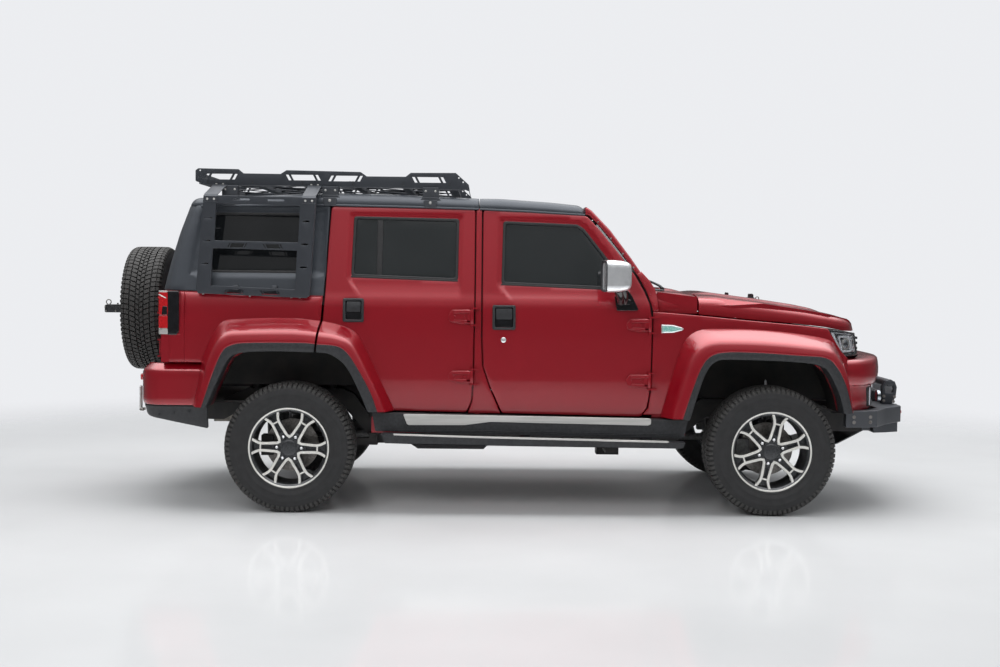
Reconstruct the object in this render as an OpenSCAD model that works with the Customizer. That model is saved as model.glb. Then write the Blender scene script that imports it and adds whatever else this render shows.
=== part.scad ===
// Lifted off-road 4x4, five doors, hardtop, roof rack and spare wheel on the tailgate.
// +X is the front, +Y the left side, +Z up; the origin is the middle of the bounding box at the ground.

/* [Overall] */
// front wheel centre to rear wheel centre
wheelbase = 2745; // [2400:5:3300]
// between the tyre centres of one axle
track = 1600; // [1580:5:1660]
// over the door skins
body_width = 1644; // [1600:4:1760]
// over the wheel arch flares
flare_width = 1910; // [1870:5:2020]
// over the mirrors
mirror_width = 2150; // [2100:10:2300]
// ground to the roof skin at its edge
roof_height = 1825; // [1700:5:2100]

/* [Wheels] */
// loaded road tyre radius, so wheel centre height
tyre_radius = 370; // [320:2:380]
// free radius of the spare tyre
spare_radius = 384; // [330:2:386]
// width of a tyre at its bulge
tyre_width = 250; // [210:2:264]
// rim flange radius
rim_radius = 232; // [215:1:240]
// wheel stud circle radius
stud_circle = 69.85; // [60:0.05:75]

/* [Panels] */
// thickness of a door below its window
door_thick = 95; // [75:1:105]
// shut line around doors, bonnet and tailgate
panel_gap = 7; // [6:0.5:9]
// hinge pin axis to the panel skin
hinge_out = 20; // [18:1:26]
// radius of a hinge pin
pin_radius = 5; // [4:0.5:6]

/* [Frame and axles] */
// outer face of the chassis rails to the middle
rail_half = 435; // [410:1:445]
// width of a chassis rail
rail_width = 70; // [50:1:84]
// king pin to the middle of the car
king_half = 690; // [670:1:700]
// radius of the rear axle tube
axle_radius = 42; // [32:1:50]

/* [Hidden] */
$fn = 64;

// stations along the car are front wheel centre to the point, for a wheelbase of 2745
nose = 930;
tail = 1279;
length_all = nose + wheelbase + tail;
FX = length_all / 2 - nose;
RX = FX - wheelbase;
W = body_width / 2;
FW = flare_width / 2;
hub_y = track / 2;
hub_z = tyre_radius;
gap = panel_gap;
RY = rail_half;
KY = king_half;
function px(x) = x >= -700 ? FX + x : x <= -2300 ? RX + x + 2745 : FX - 700 + (x + 700) * (wheelbase - 1145) / 1600;
function pz(z) = z <= 1240 ? z : 1240 + (z - 1240) * (roof_height - 1240) / 585;
function P(v) = [for (p = v) [px(p[0]), pz(p[1])]];
floor_z = 542;
// top edge of the sill cladding
function sill(x) = 574 - (x + 2278) * 0.0166;
function both_f(v) = concat(v, [for (i = [len(v) - 1 : -1 : 0]) [v[i][0], -v[i][1]]]);
function both_y(v) = concat(v, [for (i = [len(v) - 1 : -1 : 0]) [-v[i][0], v[i][1]]]);

red = [0.62, 0.05, 0.10];
grey = [0.25, 0.26, 0.28];
black = [0.08, 0.08, 0.09];
steel = [0.45, 0.46, 0.48];
silver = [0.72, 0.73, 0.75];
glass = [0.20, 0.26, 0.28, 0.5];

module side(y0, y1, pts) {
  translate([0, y1, 0]) rotate([90, 0, 0]) linear_extrude(height = y1 - y0) polygon(pts);
}
module across(x0, x1, pts) {
  translate([x0, 0, 0]) rotate([90, 0, 90]) linear_extrude(height = x1 - x0) polygon(pts);
}
module flat(z0, z1, pts) {
  translate([0, 0, z0]) linear_extrude(height = z1 - z0) polygon(pts);
}
module box(x0, x1, y0, y1, z0, z1) {
  translate([x0, y0, z0]) cube([x1 - x0, y1 - y0, z1 - z0]);
}
module pair() {
  children();
  mirror([0, 1, 0]) children();
}
module bar_y(x, z, y0, y1, r) {
  translate([x, y0, z]) rotate([-90, 0, 0]) cylinder(h = y1 - y0, r = r);
}
module bar_z(x, y, z0, z1, r) {
  translate([x, y, z0]) cylinder(h = z1 - z0, r = r);
}
module bar_x(x0, x1, y, z, r) {
  translate([x0, y, z]) rotate([0, 90, 0]) cylinder(h = x1 - x0, r = r);
}

// cross-section of the right-hand cabin wall, from sill to roof
module wall(t0, t1) {
  across(-length_all / 2, length_all / 2, [
    [-(W - 22 - t0), 430], [-(W - t0), 760], [-(W - t0), 1010], [-(W - 8 - t0), 1180],
    [-(W - 24 - t0), pz(1250)], [-(W - 122 - t0), pz(1765)], [-(W - 128 - t0), pz(1800)],
    [-(W - 128 - min(t1, 55)), pz(1800)], [-(W - 122 - min(t1, 55)), pz(1765)],
    [-(W - 24 - min(t1, 62)), pz(1250)], [-(W - t1), 1180], [-(W - t1), 760], [-(W - t1), 430]]);
}

// ---- doors -------------------------------------------------------------------------
front_door_line = P([[-681, 1100], [-681, 1040], [-683, 880], [-688, 712], [-703, 610], [-740, sill(-740) + gap],
  [-1536, sill(-1536) + gap], [-1606, 725], [-1645, 840], [-1652, 989], [-1653, 1250], [-1653, 1738],
  [-1384, 1727], [-1072, 1709], [-1050, 1702], [-982, 1630], [-867, 1488], [-776, 1364], [-723, 1272],
  [-693, 1198]]);
front_window = P([[-1537, 1672], [-1110, 1657], [-1068, 1630], [-911, 1430], [-826, 1300], [-832, 1284], [-1545, 1309]]);
rear_door_line = P([[-1699, 1740], [-1699, 1217], [-1703, 988], [-1705, 816], [-1712, 643], [-1740, sill(-1740) + gap],
  [-2300, sill(-2300) + gap], [-2350, 707], [-2424, 842], [-2509, 905], [-2587, 915], [-2583, 939], [-2566, 1083],
  [-2555, 1232], [-2540, 1552], [-2529, 1749]]);
rear_window = P([[-1792, 1683], [-2398, 1692], [-2408, 1346], [-1796, 1326]]);
front_pin_x = px(-694);
rear_pin_x = px(-1712);
pin_y = -(W + hinge_out);
hinge_front = [[711, 813], [1033, 1132]];
hinge_rear = [[731, 827], [1069, 1176]];

module strap(x, z0, z1) {
  difference() {
    union() {
      box(x - 148, x, pin_y + 2, -(W - 9), z0 + 12, z1 - 12);
      bar_z(x, pin_y, z0 + 12, z1 - 12, pin_radius + 6);
    }
    bar_z(x, pin_y, z0, z1, pin_radius + 0.5);
  }
}
module lugs(x, z0, z1, y_in) {
  bar_z(x, pin_y, z0, z1, pin_radius);
  for (z = [z0, z1 - 10]) {
    bar_z(x, pin_y, z, z + 10, pin_radius + 7);
    box(x, x + 44, pin_y - 10, pin_y + 10, z, z + 10);
    box(x + 24, x + 44, pin_y - 10, y_in, z, z + 10);
  }
}
module door(line, window) {
  difference() {
    intersection() {
      wall(0, door_thick);
      side(-W - 5, -200, line);
    }
    side(-W - 5, -200, window);
  }
}
module pane(window) {
  intersection() {
    wall(24, 30);
    side(-W - 5, -200, window);
  }
}
module front_door() {
  color(red) {
    door(front_door_line, front_window);
    for (h = hinge_front) strap(front_pin_x, h[0], h[1]);
  }
}
module rear_door() {
  color(red) {
    difference() {
      union() {
        door(rear_door_line, rear_window);
        intersection() {
          rear_flare();
          side(-FW - 5, -W + 40, P([[-2586, 915], [-2583, 939], [-2566, 1083], [-2563, 1120], [-2100, 1120],
            [-2100, sill(-2150) + gap], [-2400, sill(-2400) + gap]]));
        }
      }
    }
    for (h = hinge_rear) strap(rear_pin_x, h[0], h[1]);
  }
}
module mirror_body() {
  color(silver) {
    side(-mirror_width / 2, -W - 62, P([[-969, 1440], [-966, 1300], [-950, 1282], [-845, 1278], [-826, 1296],
      [-822, 1400], [-840, 1436], [-955, 1447]]));
  }
  color(black) {
    side(-W - 62, -W + 8, P([[-930, 1290], [-826, 1290], [-800, 1230], [-760, 1180], [-770, 1168], [-885, 1168], [-898, 1250]]));
  }
}
module mirror_piece() {
  difference() {
    mirror_body();
    wall(0, door_thick);
  }
}

// ---- arches ------------------------------------------------------------------------
rear_arch_out = P([[-3305, 600], [-3262, 800], [-3250, 878], [-3193, 1010], [-3136, 1079], [-3057, 1097], [-2749, 1105],
  [-2567, 1090], [-2465, 1068], [-2373, 1023], [-2316, 927], [-2235, 756], [-2165, 607], [-2150, 585]]);
rear_arch_lip = P([[-3233, 600], [-3171, 784], [-3115, 914], [-3059, 954], [-2958, 967], [-2677, 969], [-2481, 954],
  [-2424, 926], [-2362, 842], [-2282, 696], [-2237, 585]]);
rear_arch_open = P([[-3260, 400], [-3205, 609], [-3143, 745], [-3081, 870], [-3014, 908], [-2846, 920], [-2587, 915],
  [-2509, 905], [-2424, 842], [-2350, 707], [-2293, 583], [-2230, 400]]);
front_arch_out = P([[-625, 556], [-576, 742], [-521, 926], [-477, 1012], [-409, 1056], [-294, 1066], [-65, 1062],
  [165, 1041], [338, 1008], [383, 955], [429, 872], [452, 757], [462, 600]]);
front_arch_lip = P([[-514, 556], [-465, 712], [-411, 854], [-355, 917], [-265, 938], [-84, 936], [142, 922], [284, 912],
  [347, 867], [406, 760], [449, 600]]);
front_arch_open = P([[-520, 400], [-474, 553], [-420, 724], [-382, 826], [-332, 883], [-253, 895], [86, 887], [257, 866],
  [314, 816], [373, 697], [396, 600], [420, 400]]);
module flare(out, lip, open) {
  difference() {
    hull() {
      side(-(W - 11), -(W - 12), out);
      side(-FW, -FW + 12, lip);
    }
    side(-FW - 5, -W + 100, open);
  }
}
module front_flare() {
  flare(front_arch_out, front_arch_lip, front_arch_open);
}
module rear_flare() {
  flare(rear_arch_out, rear_arch_lip, rear_arch_open);
}
module arch_flares() {
  color(red) pair() {
    difference() {
      front_flare();
      box(FX - 700, FX - 400, -FW - 5, -W + 60, 500, sill(-560) + 8);
    }
    difference() {
      rear_flare();
      wall(0, door_thick);
      side(-FW - 5, -W + 40, P([[-2600, 905], [-2596, 939], [-2579, 1083], [-2576, 1130], [-2100, 1130], [-2100, 500],
        [-2600, 500]]));
      side(-FW - 5, -W + 100, P([[-3240, 500], [-3232, 796], [-3245, 846], [-3500, 846], [-3500, 500], [-3297, 500]]));
    }
  }
}

// ---- body --------------------------------------------------------------------------
quarter_line = P([[-2568, 1233], [-3478, 1256], [-3487, 1000], [-3487, 846], [-3245, 846], [-3232, 796], [-3297, 600],
  [-3207, 600], [-3143, 745], [-3081, 870], [-3014, 908], [-2846, 920], [-2600, 917], [-2596, 939], [-2579, 1083]]);
module tail_lamp_block(g) {
  box(px(-3500) - g, px(-3386) + g, -(W + 4) - g, -(W - 112), 1012 - g, 1252 + g);
}
module body_side() {
  // sill box under the doors
  box(px(-2285), px(-480), -(W - 14), -(W - 170), 450, floor_z);
  // front hinge pillar
  box(px(-674), px(-600), -(W - 42), -(W - 130), floor_z, 1160);
  // centre pillar and the bar behind both doors
  intersection() {
    wall(4, door_thick + 60);
    side(-W - 5, -200, P([[-1692, floor_z], [-1666, floor_z], [-1666, 1744], [-1692, 1746]]));
  }
  intersection() {
    wall(door_thick + 8, door_thick + 58);
    side(-W - 5, -200, P([[-1735, floor_z], [-1615, floor_z], [-1615, 1000], [-1735, 1000]]));
  }
  // rear quarter with its corner post
  difference() {
    intersection() {
      wall(0, door_thick);
      side(-W - 5, -200, quarter_line);
    }
    tail_lamp_block(0);
  }
  difference() {
    box(px(-3487), px(-3400), -(W - door_thick), -660, 846, 1250);
    tail_lamp_block(0);
  }
  for (h = hinge_rear) lugs(rear_pin_x, h[0], h[1], -(W - 10));
}
module body_sides() {
  color(red) pair() {
    body_side();
  }
  color(red) for (h = gate_hinge) gate_lugs(h[0], h[1]);
}
module floor_pan() {
  color(black) {
    // cabin floor, riser and load floor
    box(px(-2290), px(-600), -(W - 170), W - 170, 515, floor_z);
    box(px(-2320), px(-2290), -(W - 262), W - 262, 515, 735);
    box(px(-3440), px(-2320), -(W - 262), W - 262, 705, 735);
    // firewall
    box(px(-640), px(-612), -(W - 132), W - 132, floor_z, 1160);
    // wheel houses
    pair() {
      difference() {
        side(-(W - door_thick - 8), -(W - 262), P([[-3290, 705], [-3230, 800], [-3130, 960], [-2380, 960], [-2330, 705]]));
        side(-(W - door_thick) - 1, -(W - 232), P([[-3260, 600], [-3200, 800], [-3110, 930], [-2400, 930], [-2355, 700],
          [-2355, 600]]));
        side(-(W - door_thick) - 1, -(W - 232), P([[-3300, 600], [-3300, 700], [-2300, 700], [-2300, 600]]));
      }
      // inner wings round the engine bay
      box(px(-612), px(500), -(W - 330), -(W - 352), 640, 1020);
    }
  }
}
// upright panel at the end of the load floor, behind the bumper
module rear_panel() {
  color(black) {
    box(px(-3486), px(-3440), -(W - 262), W - 262, 590.3, 735);
    box(px(-3486), px(-3440), -652, 652, 735, 806);
  }
}
module cowl_panel() {
  color(red) for (y = bonnet_hinge_y) bonnet_barrel(y, 1);
  color(red) difference() {
    side(-(W - 58), W - 58, P([[-415, 1150], [-415, 1246], [-640, 1272], [-655, 1260], [-644, 1160], [-596, 1160], [-590, 1150]]));
    side(-(W - 80), W - 80, P([[-400, 1130], [-400, 1226], [-636, 1250], [-636, 1130]]));
    for (y = bonnet_hinge_y) box(bonnet_pin[0] - 20, bonnet_pin[0] + 15, y - 17, y + 17, 1215, 1300);
  }
}
module windscreen_frame() {
  color(red) {
    pair() intersection() {
      wall(0, door_thick);
      side(-W - 5, -200, P([[-1052, 1756], [-1026, 1738], [-920, 1626], [-802, 1468], [-742, 1381], [-684, 1318],
        [-655, 1260], [-644, 1160], [-674, 1160], [-685, 1200], [-713, 1277], [-766, 1372], [-857, 1497],
        [-972, 1641], [-1040, 1712], [-1062, 1716], [-1062, 1756]]));
    }
    side(-(W - 177), W - 177, P([[-1054, 1762], [-1004, 1716], [-1006, 1692], [-1013, 1688], [-1064, 1700], [-1064, 1758]]));
    side(-(W - 95), W - 95, P([[-644, 1160], [-655, 1260], [-663, 1256], [-674, 1238], [-674, 1160]]));
  }
}
module fixed_glass() {
  color(glass) {
    intersection() {
      side(-W, W, P([[-655, 1260], [-1006, 1692], [-1013, 1688], [-663, 1256]]));
      across(px(-1100), px(-500), both_y([[-(W - 96), 1180], [-(W - 87), pz(1255)], [-(W - 177), pz(1760)]]));
    }
    pair() intersection() {
      wall(20, 26);
      side(-W - 5, -200, P(hard_window));
    }
    intersection() {
      side(-560, 560, P([[-3365, 1690], [-3458, 1310], [-3452, 1310], [-3359, 1690]]));
      across(px(-3600), px(-3200), rear_window_line);
    }
  }
}

// ---- nose --------------------------------------------------------------------------
module fender() {
  difference() {
    side(-(W - 12), -(W - 42), P([[-674, sill(-640) + 9], [-474, 553], [-420, 724], [-382, 826], [-332, 883], [-253, 895],
      [86, 887], [257, 866], [314, 816], [373, 697], [396, 600], [462, 600], [447, 903], [413, 936], [334, 1066],
      [184, 1088], [-164, 1117], [-414, 1141], [-600, 1155], [-674, 1158]]));
  }
  // top ledge under the bonnet, carried by the inner wing
  side(-(W - 42), -(W - 330), P([[-412, 1000], [-412, 1020], [300, 1004], [300, 984]]));
  side(-(W - 42), -(W - 62), P([[-412, 960], [-412, 1128], [300, 1064], [300, 940]]));
  for (h = hinge_front) lugs(front_pin_x, h[0], h[1], -(W - 12));
}
module front_fenders() {
  color(red) pair() fender();
}
bonnet_pin = [px(-410), 1250];
module bonnet_barrel(y, n) {
  // n of -1 is the bonnet's barrel, 1 the cowl's lugs
  if (n < 0) {
    difference() {
      union() {
        bar_y(bonnet_pin[0], bonnet_pin[1], y - 15, y + 15, 9);
        box(bonnet_pin[0], bonnet_pin[0] + 30, y - 15, y + 15, 1230, 1254);
      }
      bar_y(bonnet_pin[0], bonnet_pin[1], y - 40, y + 40, 4.5);
    }
  } else {
    bar_y(bonnet_pin[0], bonnet_pin[1], y - 29, y + 29, 4);
    for (s = [-29, 17]) {
      bar_y(bonnet_pin[0], bonnet_pin[1], y + s, y + s + 12, 9);
      box(bonnet_pin[0] - 34, bonnet_pin[0], y + s, y + s + 12, 1229, 1256);
    }
  }
}
bonnet_hinge_y = [-560, 560];
module bonnet_form(d) {
  intersection() {
    side(-W, W, P([[-405, 1050], [-405, 1250 - d], [-20, 1210 - d], [217, 1176 - d], [365, 1150 - d], [483, 1124 - d],
      [528, 1096 - d], [552 - d / 2, 1052], [560, 1020]]));
    across(px(-700), px(700), both_y([[-(W - 70 - d), 1000], [-(W - 70 - d), 1200 - d], [-(W - 100 - d), 1240 - d],
      [-(W - 240), 1262 - d]]));
    flat(900, 1300, both_f([[px(-420), -(W - 60 - d)], [px(350), -(W - 96 - d)], [px(500), -(W - 190 - d)], [px(560 - d), -(W - 320)]]));
  }
}
module bonnet() {
  color(red) difference() {
    bonnet_form(0);
    bonnet_form(22);
    for (y = bonnet_hinge_y) box(bonnet_pin[0] - 20, bonnet_pin[0] + 15, y - 36, y + 36, 1215, 1300);
    side(-W - 5, W + 5, P([[-500, 900], [-500, 1158], [-414, 1147], [-164, 1124], [184, 1095], [329, 1079], [560, 1050],
      [700, 1040], [700, 900]]));
  }
  color(red) for (y = bonnet_hinge_y) bonnet_barrel(y, -1);
}
module grille_panel() {
  color(black) {
    box(px(500), px(530), -480, 480, 620, 1035);
    box(px(500), px(530), -566, 566, 903, 1035);
  }
  color(black) for (z = [912 : 30 : 1002]) {
    box(px(530), px(572), -552, 552, z, z + 14);
  }
}
module headlamps() {
  color(silver) pair() {
    intersection() {
      side(-(W - 12), -566, P([[334, 1066], [413, 936], [447, 903], [556, 908], [572, 985], [553, 1038], [500, 1046]]));
      flat(880, 1100, [[px(300), -(W - 12)], [px(460), -(W - 50)], [px(530), -(W - 130)], [px(572), -566], [px(300), -566]]);
    }
  }
}
module front_bumper() {
  color(red) intersection() {
    side(-W - 20, W + 20, P([[462, 600], [690, 600], [712, 735], [752, 794], [742, 850], [600, 900], [447, 903]]));
    difference() {
      flat(590, 910, both_f([[px(440), -(W - 14)], [px(540), -(W - 40)], [px(650), -(W - 140)], [px(715), -(W - 330)],
        [px(752), -(W - 500)]]));
      flat(580, 920, both_f([[px(440), -(W - 90)], [px(520), -(W - 110)], [px(600), -(W - 200)], [px(640), -(W - 380)]]));
    }
  }
}
module bull_bar() {
  color(grey) {
    // winch box, lower beam and wings
    difference() {
      flat(500, 596, both_f([[px(452), -(W - 30)], [px(640), -(W - 60)], [px(740), -(W - 230)], [px(878), -(W - 380)],
        [px(878), -(W - 400)]]));
      flat(490, 610, both_f([[px(452), -(W - 92)], [px(600), -(W - 120)], [px(690), -(W - 260)], [px(690), -(W - 380)]]));
    }
    flat(432, 500, both_f([[px(700), -470], [px(790), -440], [px(872), -400], [px(872), -390]]));
    box(px(640), px(700), -410, 410, 440, 500);
    // brackets to the chassis rails
    pair() box(px(640), px(692), -RY, -RY + rail_width, 445, 545);
    // hoop
    pair() side(-330, -290, P([[790, 596], [790, 700], [812, 738], [866, 735], [878, 700], [872, 640], [850, 596]]));
    bar_y(px(832), 722, -330, 330, 24);
    // fairlead and hook posts
    box(px(878), px(899), -160, 160, 465, 590);
    pair() difference() {
      side(-250, -225, P([[872, 500], [872, 590], [905, 590], [930, 560], [930, 520], [905, 500]]));
      bar_y(px(911), 545, -260, -215, 11);
    }
  }
  // skid plate
  color(grey) side(-350, 350, P([[690, 440], [520, 350], [330, 300], [330, 306], [518, 356], [684, 446]]));
}

// ---- roof --------------------------------------------------------------------------
module roof_form(d) {
  across(-length_all / 2, length_all / 2, both_y([[-(W - 24 - d), pz(1230)], [-(W - 26 - d), pz(1250)],
    [-(W - 124 - d), pz(1755 - d / 3)], [-(W - 150 - d), pz(1796 - d)], [-(W - 330), pz(1826 - d)]]));
}
module front_roof_panel() {
  color(grey) difference() {
    intersection() {
      roof_form(0);
      side(-W, W, P([[-1677, 1748], [-1677, 1840], [-1558, 1828], [-1267, 1806], [-1110, 1785], [-1064, 1760],
        [-1064, 1722], [-1072, 1717], [-1384, 1735]]));
    }
    intersection() {
      roof_form(44);
      side(-W, W, P([[-1640, 1700], [-1640, 1796], [-1558, 1786], [-1267, 1764], [-1110, 1742], [-1110, 1700]]));
    }
  }
}
hard_window = [[-2632, 1292], [-2630, 1742], [-3232, 1742], [-3262, 1302]];
rear_window_line = both_y([[-555, pz(1312)], [-520, pz(1686)]]);
// plan outline of the rounded rear corners, e is the rear edge at the middle and t the lean of the side
function corner(e, t) = both_f([[px(-1600), -W - 5], [px(e + 85), -(W - 20 - t)], [px(e + 50), -(W - 46 - t)],
  [px(e + 28), -(W - 92 - t)], [px(e + 10), -(W - 162 - t)], [px(e), -(W - 232 - t)]]);
module hardtop_form() {
  intersection() {
    roof_form(0);
    side(-W, W, P([[-1677, 1700], [-1677, 1840], [-2100, 1840], [-2545, 1826], [-3300, 1792], [-3345, 1780], [-3374, 1758],
      [-3430, 1594], [-3477, 1419], [-3510, 1258], [-2562, 1233], [-2540, 1700]]));
    hull() {
      flat(pz(1200), pz(1201), corner(-3524, 0));
      flat(pz(1840), pz(1841), corner(-3372, 112));
    }
  }
}
module hardtop() {
  color(grey) difference() {
    hardtop_form();
    intersection() {
      roof_form(48);
      side(-W, W, P([[-1720, 1700], [-1720, 1780], [-2545, 1780], [-3280, 1746], [-3370, 1594], [-3418, 1400], [-3450, 1200],
        [-2400, 1200]]));
    }
    side(-W - 5, W + 5, P([[-2568, 1200], [-2552, 1552], [-2542, 1758], [-1600, 1748], [-1600, 1200]]));
    side(-W - 5, W + 5, P(hard_window));
    across(px(-3600), px(-3330), rear_window_line);
  }
}
module roof_rack() {
  ry = W - 152;
  color(grey) {
    pair() difference() {
      side(-ry - 6, -ry + 6, P([[-3321, 1889], [-3321, 1950], [-3298, 1962], [-3073, 1959], [-3044, 1935], [-2829, 1934],
        [-2795, 1956], [-2366, 1950], [-2331, 1925], [-2105, 1925], [-2076, 1948], [-1815, 1950], [-1739, 1882],
        [-1732, 1842], [-1762, 1853], [-2139, 1861], [-2700, 1866], [-3269, 1868]]));
      for (w = [[-3215, -3100], [-2755, -2640], [-2540, -2410], [-2060, -1930]]) {
        side(-ry - 9, -ry + 9, P([[w[0], 1905], [w[0], 1936], [w[1], 1932], [w[1], 1901]]));
      }
    }
    for (x = [-3280, -2990, -2700, -2410, -2120, -1830]) {
      difference() {
        box(px(x) - 20, px(x) + 20, -ry + 6, ry - 6, pz(1872), pz(1872) + 26);
        for (y = [-400, 400]) bar_z(px(x), y, pz(1860), pz(1910), 4.5);
      }
    }
    difference() {
      pair() for (x = [-3120, -2540, -1963]) {
        box(px(x) - 45, px(x) + 45, -ry + 6, -ry + 46, pz(1780), pz(1868));
      }
      hardtop_form();
    }
    difference() {
      pair() for (x = [-3120, -2540, -1963]) {
        box(px(x) - 45, px(x) + 45, -ry + 7 - 20, -ry + 6, pz(1780), pz(1864));
      }
      hardtop_form();
      pair() side(-ry - 6, -ry + 7, P([[-3321, 1889], [-3321, 1950], [-1815, 1950], [-1732, 1842], [-1762, 1853],
        [-2139, 1861], [-2700, 1866], [-3269, 1868]]));
    }
  }
}
module side_carriers() {
  ry = W - 152;
  color(grey) pair() {
    difference() {
      side(-(W + 24), -(W + 16), P([[-3250, 1799], [-3284, 1265], [-3262, 1243], [-2680, 1228], [-2657, 1245], [-2604, 1794]]));
      side(-(W + 30), -W, P([[-3171, 1758], [-3182, 1548], [-2705, 1546], [-2702, 1753]]));
      side(-(W + 30), -W, P([[-3187, 1502], [-3204, 1290], [-2727, 1277], [-2716, 1496]]));
    }
    // arms up to the rack
    for (x = [-3208, -2648]) {
      box(px(x) - 34, px(x) + 34, -(W + 16), -ry - 6, pz(1840), pz(1846));
      box(px(x) - 34, px(x) + 34, -(W + 24), -(W + 16), pz(1780), pz(1846));
      box(px(x) - 34, px(x) + 34, -ry - 12, -ry - 6, pz(1872), pz(1900));
      box(px(x) - 34, px(x) + 34, -ry - 20, -ry - 12, pz(1840), pz(1900));
    }
    // feet on the hardtop
    for (x = [-3225, -2665]) {
      difference() {
        box(px(x) - 15, px(x) + 15, -(W + 16), -(W - 60), pz(1262), pz(1262) + 26);
        hardtop_form();
      }
    }
  }
}

// ---- trim along the sides ----------------------------------------------------------
module side_cladding() {
  color(black) pair() {
    side(-(W + 48), -(W - 14), P([[-2278, 572], [-2258, 466], [-1660, 453], [-688, 440], [-494, 446], [-474, 543]]));
  }
}
module side_steps() {
  color(black) pair() {
    side(-(W + 138), -(W + 52), P([[-2221, 458], [-2196, 408], [-1943, 402], [-1320, 396], [-560, 391], [-510, 394],
      [-500, 424], [-594, 426], [-1660, 444], [-2153, 456]]));
    for (x = [-2000, -1400, -700]) {
      box(px(x) - 30, px(x) + 30, -(W + 52), -RY, 405, 436);
    }
  }
}
module rear_bumper() {
  color(red) {
    difference() {
      flat(590, 796, both_f([[px(-3242), -(W - 8)], [px(-3480), -(W - 8)], [px(-3600), -(W - 50)], [px(-3645), -(W - 200)],
        [px(-3655), -430], [px(-3655), -420]]));
      flat(580, 900, both_f([[px(-3242), -(W - 70)], [px(-3487), -(W - 110)], [px(-3590), -(W - 250)], [px(-3590), -420]]));
      side(-W - 20, W + 20, P([[-3100, 500], [-3100, 796.5], [-3232, 796.5], [-3297, 600], [-3297, 500]]));
      box(px(-3800), px(-3487), -430, 430, 700, 900);
    }
    pair() difference() {
      flat(796, 838, [[px(-3250), -(W - 8)], [px(-3480), -(W - 8)], [px(-3570), -(W - 60)], [px(-3600), -(W - 200)],
        [px(-3490), -(W - 200)], [px(-3490), -(W - 96)], [px(-3250), -(W - 96)]]);
      box(px(-3800), px(-3487), -700, 700, 780, 900);
    }
    box(px(-3590), px(-3487), -500, 500, 610, 680);
  }
  color(black) {
    difference() {
      flat(462, 588, both_f([[px(-3225), -(W - 12)], [px(-3480), -(W - 16)], [px(-3600), -(W - 90)], [px(-3648), -(W - 330)]]));
      flat(450, 600, both_f([[px(-3200), -(W - 80)], [px(-3500), -(W - 120)], [px(-3590), -(W - 360)]]));
      side(-W - 20, W + 20, P([[-3100, 400], [-3220, 600], [-3120, 600], [-3100, 600]]));
      side(-W - 20, W + 20, P([[-3100, 400], [-3220, 456], [-3500, 516], [-3640, 560], [-3700, 560], [-3700, 400]]));
    }
    pair() box(px(-3590), px(-3520), -RY, -RY + rail_width, 500, 585);
  }
}
module tail_lamps() {
  color(red) pair() {
    tail_lamp_block(0);
  }
}

// ---- tailgate ----------------------------------------------------------------------
gate_pin = [px(-3530), -637];
gate_hinge = [[866, 972], [1118, 1218]];
module gate_strap(z0, z1) {
  difference() {
    union() {
      box(gate_pin[0], px(-3505), gate_pin[1] + 4, gate_pin[1] + 140, z0 + 12, z1 - 12);
      bar_z(gate_pin[0], gate_pin[1], z0 + 12, z1 - 12, pin_radius + 6);
    }
    bar_z(gate_pin[0], gate_pin[1], z0, z1, pin_radius + 0.5);
  }
}
module gate_lugs(z0, z1) {
  bar_z(gate_pin[0], gate_pin[1], z0, z1, pin_radius);
  for (z = [z0, z1 - 10]) {
    bar_z(gate_pin[0], gate_pin[1], z, z + 10, pin_radius + 7);
    box(gate_pin[0] - 10, gate_pin[0] + 10, gate_pin[1] - 44, gate_pin[1], z, z + 10);
    box(gate_pin[0] - 10, px(-3486), gate_pin[1] - 44, gate_pin[1] - 24, z, z + 10);
  }
}
module tailgate() {
  color(red) {
    box(px(-3510), px(-3440), -650, 650, 815, 1248);
    for (h = gate_hinge) gate_strap(h[0], h[1]);
  }
  // carrier for the spare wheel
  color(black) {
    difference() {
      translate([px(-3660), 0, spare_z]) rotate([0, 90, 0]) cylinder(h = 150, r = 105);
      for (a = [0 : 60 : 300]) {
        translate([px(-3661), stud_circle * cos(a), spare_z + stud_circle * sin(a)]) rotate([0, 90, 0]) cylinder(h = 30, r = 7);
      }
    }
  }
}
spare_z = 1132;
spare_x = -3722;

// ---- wheels ------------------------------------------------------------------------
// a wheel lies about the Y axis with its outer face towards -Y
module tyre(r, w) {
  h = w / 2;
  color(black) rotate([90, 0, 0]) rotate_extrude($fn = 96) polygon([
    [217, -106], [rim_radius + 1, -106], [rim_radius + 8, -h + 6], [r - 72, -h], [r - 26, -h + 4], [r - 4, -h + 17],
    [r, -h + 30], [r, h - 30], [r - 4, h - 17], [r - 26, h - 4], [r - 72, h], [rim_radius + 8, h - 6],
    [rim_radius + 1, 106], [217, 106]]);
}
module rim() {
  color(silver) {
    rotate([90, 0, 0]) rotate_extrude($fn = 96) polygon([
      [206, -114], [rim_radius, -114], [rim_radius, -106.5], [216.7, -106.5], [216.7, -70], [205, -55], [205, 45],
      [216.7, 60], [216.7, 106.5], [rim_radius, 106.5], [rim_radius, 114], [214, 114], [206, 96], [206, 60], [197, 45],
      [197, -58], [206, -72]]);
    difference() {
      union() {
        translate([0, -82, 0]) rotate([90, 0, 0]) {
          for (a = [0 : 60 : 300]) rotate([0, 0, a]) {
            linear_extrude(height = 14) polygon([[50, -24], [165, -26], [204, -60], [212, -34], [172, 0], [212, 34], [204, 60],
              [165, 26], [50, 24]]);
          }
        }
        translate([0, 2, 0]) rotate([90, 0, 0]) cylinder(h = 92, r = 78);
      }
      for (a = [0 : 60 : 300]) {
        rotate([0, a, 0]) translate([stud_circle, -60, 0]) rotate([90, 0, 0]) cylinder(h = 50, r = 12);
      }
    }
  }
}
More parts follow.
